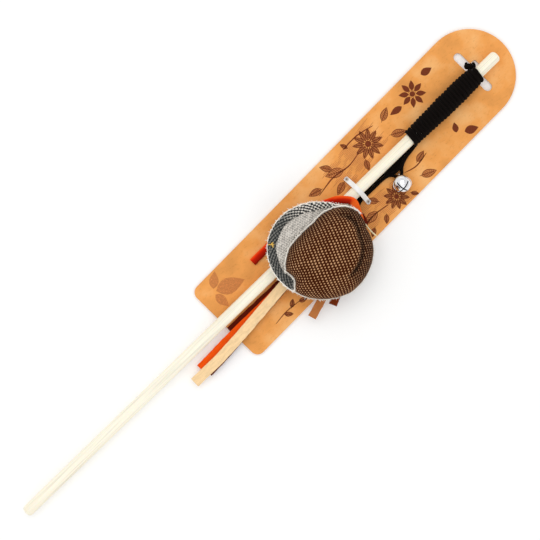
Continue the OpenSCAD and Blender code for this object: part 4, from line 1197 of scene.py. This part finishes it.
class WAND_OT_tweed(bpy.types.Operator):
    """Stuffed tweed cushion, and the filling inside it"""

    bl_idname = "wand.tweed"
    bl_label = "Tweed cushion"

    def execute(self, context):
        colours = context.scene.wand_colours
        scale = context.scene.wand_sizes.tweed_scale
        shape = Shape()
        self.upper_side(shape, scale)
        self.under_side(shape)
        shape.grid(1, TWEED_RINGS + UNDER_RINGS, TWEED_SIDES, flip=True)
        tweed = material_of("woven_tweed", woven_tweed, colours, scale)
        cushion = piece_of("stuffed_tweed", shape, [tweed], "lure", ["tweed_cover", "tweed_back"])
        fibre = material_of("polyester_fibre", soft_fibre, linear("#F4F1EA"), 0.8)
        fluff = piece_of("polyester_filling", self.filling(), [fibre], "lure", ["stuffing"])
        return {"FINISHED"}

    def upper_side(self, shape, scale):
        """Upper side, with closer rings towards the steep edge, and the threads standing out."""
        foot = FILLING_FOOT + CLOTH_T * 0.9
        full = DOME_H * 0.985
        shape.dot(Vector((DOME_X, DOME_Y, cup_z(DOME_X, DOME_Y) + foot + full)), (0, 0, 1))
        cloth_runs = [0.0] * TWEED_SIDES
        before = [(0.0, DOME_H)] * TWEED_SIDES
        for share in (math.sin(math.pi / 2 * r / TWEED_RINGS) for r in range(1, TWEED_RINGS + 1)):
            for s in range(TWEED_SIDES):
                angle = 360 * s / TWEED_SIDES
                ox, oy = tweed_outline(angle, share)
                x, y = DOME_X + ox, DOME_Y + oy
                window = crease_window(angle)
                swell = tweed_swell(angle, share)
                waves = math.sin(math.radians(angle * GATHERS))
                pucker = 6 * (0.5 + window) * share ** 8 * waves * (1 - share)
                lump = 0.5 * noise.noise(Vector((x * 0.09, y * 0.09, 4.0))) * (1 - share ** 3)
                reach = math.hypot(ox, oy)
                cloth_runs[s] += math.hypot(reach - before[s][0], DOME_H * swell - before[s][1])
                before[s] = (reach, DOME_H * swell)
                u, v = ox * cloth_runs[s] / reach, oy * cloth_runs[s] / reach
                rib = 0.16 * max(0, weave_height(u / scale, v / scale)) * min(1, 6 * (1 - share))
                z = cup_z(x, y) + foot + full * swell + lump + pucker + rib
                shape.dot(Vector((x, y, z)), (u, v, self.light_left(angle, share, window, waves)))
        for s in range(TWEED_SIDES):
            shape.faces.append((0, 1 + s, 1 + (s + 1) % TWEED_SIDES))

    def light_left(self, angle, share, window, waves):
        """Share of light that is left in the crease, in the gathers beyond it, and low on the left."""
        past = share - crease_share(angle)
        beyond = window * min(1, max(0, (past + 0.03) / 0.06))
        gather = 0.5 + 0.5 * waves
        left = max(0, math.cos(math.radians(turn_from(angle, 165)))) * share ** 5
        line = window * math.exp(-(past / 0.022) ** 2)
        return 1 - 0.4 * beyond * (1 - 0.45 * gather) - 0.3 * left - 0.4 * line

    def under_side(self, shape):
        """Under side, flat in the cup."""
        for share in (1 - r / UNDER_RINGS for r in range(UNDER_RINGS + 1)):
            for s in range(TWEED_SIDES):
                ox, oy = tweed_outline(360 * s / TWEED_SIDES, share)
                x, y = DOME_X + ox, DOME_Y + oy
                shape.dot(Vector((x, y, cup_z(x, y) + CLOTH_T + 2 * GAP + 0.05)), (ox, oy, 1))

    def filling(self):
        """Polyester filling, a soft lump inside the tweed."""
        rings, sides, fill = 16, 72, 0.86
        shape = Shape()
        for layer in (0, 1):
            for share in (r / rings for r in range(rings + 1)):
                for s in range(sides):
                    angle = 360 * s / sides
                    ox, oy = tweed_outline(angle, share * fill)
                    x, y = DOME_X + ox, DOME_Y + oy
                    lift = (DOME_H - 2.2) * tweed_swell(angle, share * fill) * (1 - share ** 6)
                    lump = 0.5 * noise.noise(Vector((x * 0.3, y * 0.3, layer * 5.0))) * (1 - share)
                    shape.dot(Vector((x, y, cup_z(x, y) + FILLING_FOOT + (lift + lump) * layer)), (x, y))
        shape.grid(0, rings, sides)
        shape.grid((rings + 1) * sides, rings, sides, flip=True)
        return shape


class WAND_OT_frays(bpy.types.Operator):
    """White raw edges of the cloths, with loose fibres"""

    bl_idname = "wand.frays"
    bl_label = "Frayed edges"

    def execute(self, context):
        sizes = context.scene.wand_sizes
        rng = random.Random(7)
        white = material_of("raw_white_fibre", soft_fibre, context.scene.wand_colours.fibre, 0.35)
        for name, edge, out, up, first, last, thick, density, slot in (
                ("tweed_raw_edge", self.tweed_edge, 0.6, 0.9, 104, 268, 0.5, 1.3, "tweed"),
                ("tweed_right_raw_edge", self.tweed_edge, 0.1, -0.6, 268, 420, 0.26, 0.9, "tweed"),
                ("cup_left_raw_edge", self.cup_edge, 0.1, 0.7, 100, 283, 0.4, 1.1, "denim"),
                ("cup_lower_raw_edge", self.cup_edge, 0.1, -0.4, 262, 345, 0.55, 1.2, "denim")):
            shape = Shape()
            steps = int((last - first) * 1.2)
            line = []
            for angle in (first + (last - first) * i / steps for i in range(steps + 1)):
                p, way = edge(angle, out, up)
                ragged = 0.7 * noise.noise(Vector((angle * 0.31, first, 1.0)))
                wavy = 0.25 * noise.noise(Vector((angle * 0.5, 3, first)))
                line.append(p + way * ragged + Vector((0, 0, wavy)))
            shape.tube(line, thick, 8, section=lambda a, run: 1 + 0.35 * noise.noise(
                Vector((math.cos(a) * 1.5, math.sin(a) * 1.5, run * 0.8))))
            length_cm = lengths_along(line)[-1] / 10
            for _ in range(int(length_cm * sizes.fray_count * density)):
                self.add_fibre(shape, *edge(rng.uniform(first, last), out, up), sizes.fray_length, rng)
            piece_of(name, shape, [white], "lure")
        return {"FINISHED"}

    def tweed_edge(self, angle, out, up):
        """A place beside and above the tweed's edge, and the direction outwards."""
        ox, oy = tweed_outline(angle)
        way = Vector((ox, oy, 0)).normalized()
        x, y = DOME_X + ox + way.x * out, DOME_Y + oy + way.y * out
        return Vector((x, y, cup_z(x, y) + 2 * CLOTH_T + 2 * GAP + up)), way

    def cup_edge(self, angle, out, up):
        """A place beside and above the cup's rim, and the direction outwards."""
        x, y = from_middle(angle, oval_r(angle) + out)
        way = Vector((math.cos(math.radians(angle)), math.sin(math.radians(angle)), 0))
        return Vector((x, y, cup_z(x, y) + CLOTH_T + up)), way

    def add_fibre(self, shape, p, way, length, rng):
        """One loose fibre that leans out of an edge and curls."""
        along = Vector((-way.y, way.x, 0))
        lean = way * rng.uniform(-0.6, 1.0) + along * rng.uniform(-0.9, 0.9)
        lean.z += rng.uniform(-0.2, 0.7)
        reach = length * rng.uniform(0.4, 1.15)
        lean.normalize()
        curl = Vector((rng.uniform(-1, 1), rng.uniform(-1, 1), rng.uniform(-0.6, 0.4))) * reach * 0.3
        tip = p + lean * reach + curl
        fibre = [p + way * rng.uniform(-0.3, 0.3), p + lean * reach * 0.55 + curl * 0.4, tip]
        shape.tube(curve_through(fibre, reach / 3), rng.uniform(0.07, 0.13), 4, round_ends=False)


class WAND_PT_panel(bpy.types.Panel):
    """Lists what makes up the wand"""

    bl_idname = "WAND_PT_panel"
    bl_label = "Teaser wand"
    bl_space_type = "VIEW_3D"
    bl_region_type = "UI"
    bl_category = "Teaser wand"

    def draw(self, context):
        layout = self.layout
        for group in (context.scene.wand_sizes, context.scene.wand_colours):
            box = layout.box()
            for name in group.__annotations__:
                box.prop(group, name)
        for operator in OPERATORS:
            layout.operator(operator.bl_idname)


OPERATORS = (
    WAND_OT_stage, WAND_OT_cord, WAND_OT_card, WAND_OT_stick_and_bell,
    WAND_OT_laces, WAND_OT_denim, WAND_OT_tweed, WAND_OT_frays,
)
CLASSES = (WandSizes, WandColours, *OPERATORS, WAND_PT_panel)


def register():
    """Registers the classes and adds the properties to the scene."""
    for cls in CLASSES:
        bpy.utils.register_class(cls)
    bpy.types.Scene.wand_sizes = PointerProperty(type=WandSizes)
    bpy.types.Scene.wand_colours = PointerProperty(type=WandColours)


def unregister():
    """Takes the properties and classes away again."""
    del bpy.types.Scene.wand_colours
    del bpy.types.Scene.wand_sizes
    for cls in reversed(CLASSES):
        bpy.utils.unregister_class(cls)


def main():
    """Makes every piece."""
    register()
    bpy.ops.wand.stage()
    bpy.ops.wand.cord()
    bpy.ops.wand.card()
    bpy.ops.wand.stick_and_bell()
    bpy.ops.wand.laces()
    bpy.ops.wand.denim()
    bpy.ops.wand.tweed()
    bpy.ops.wand.frays()


if __name__ == "__main__":
    main()
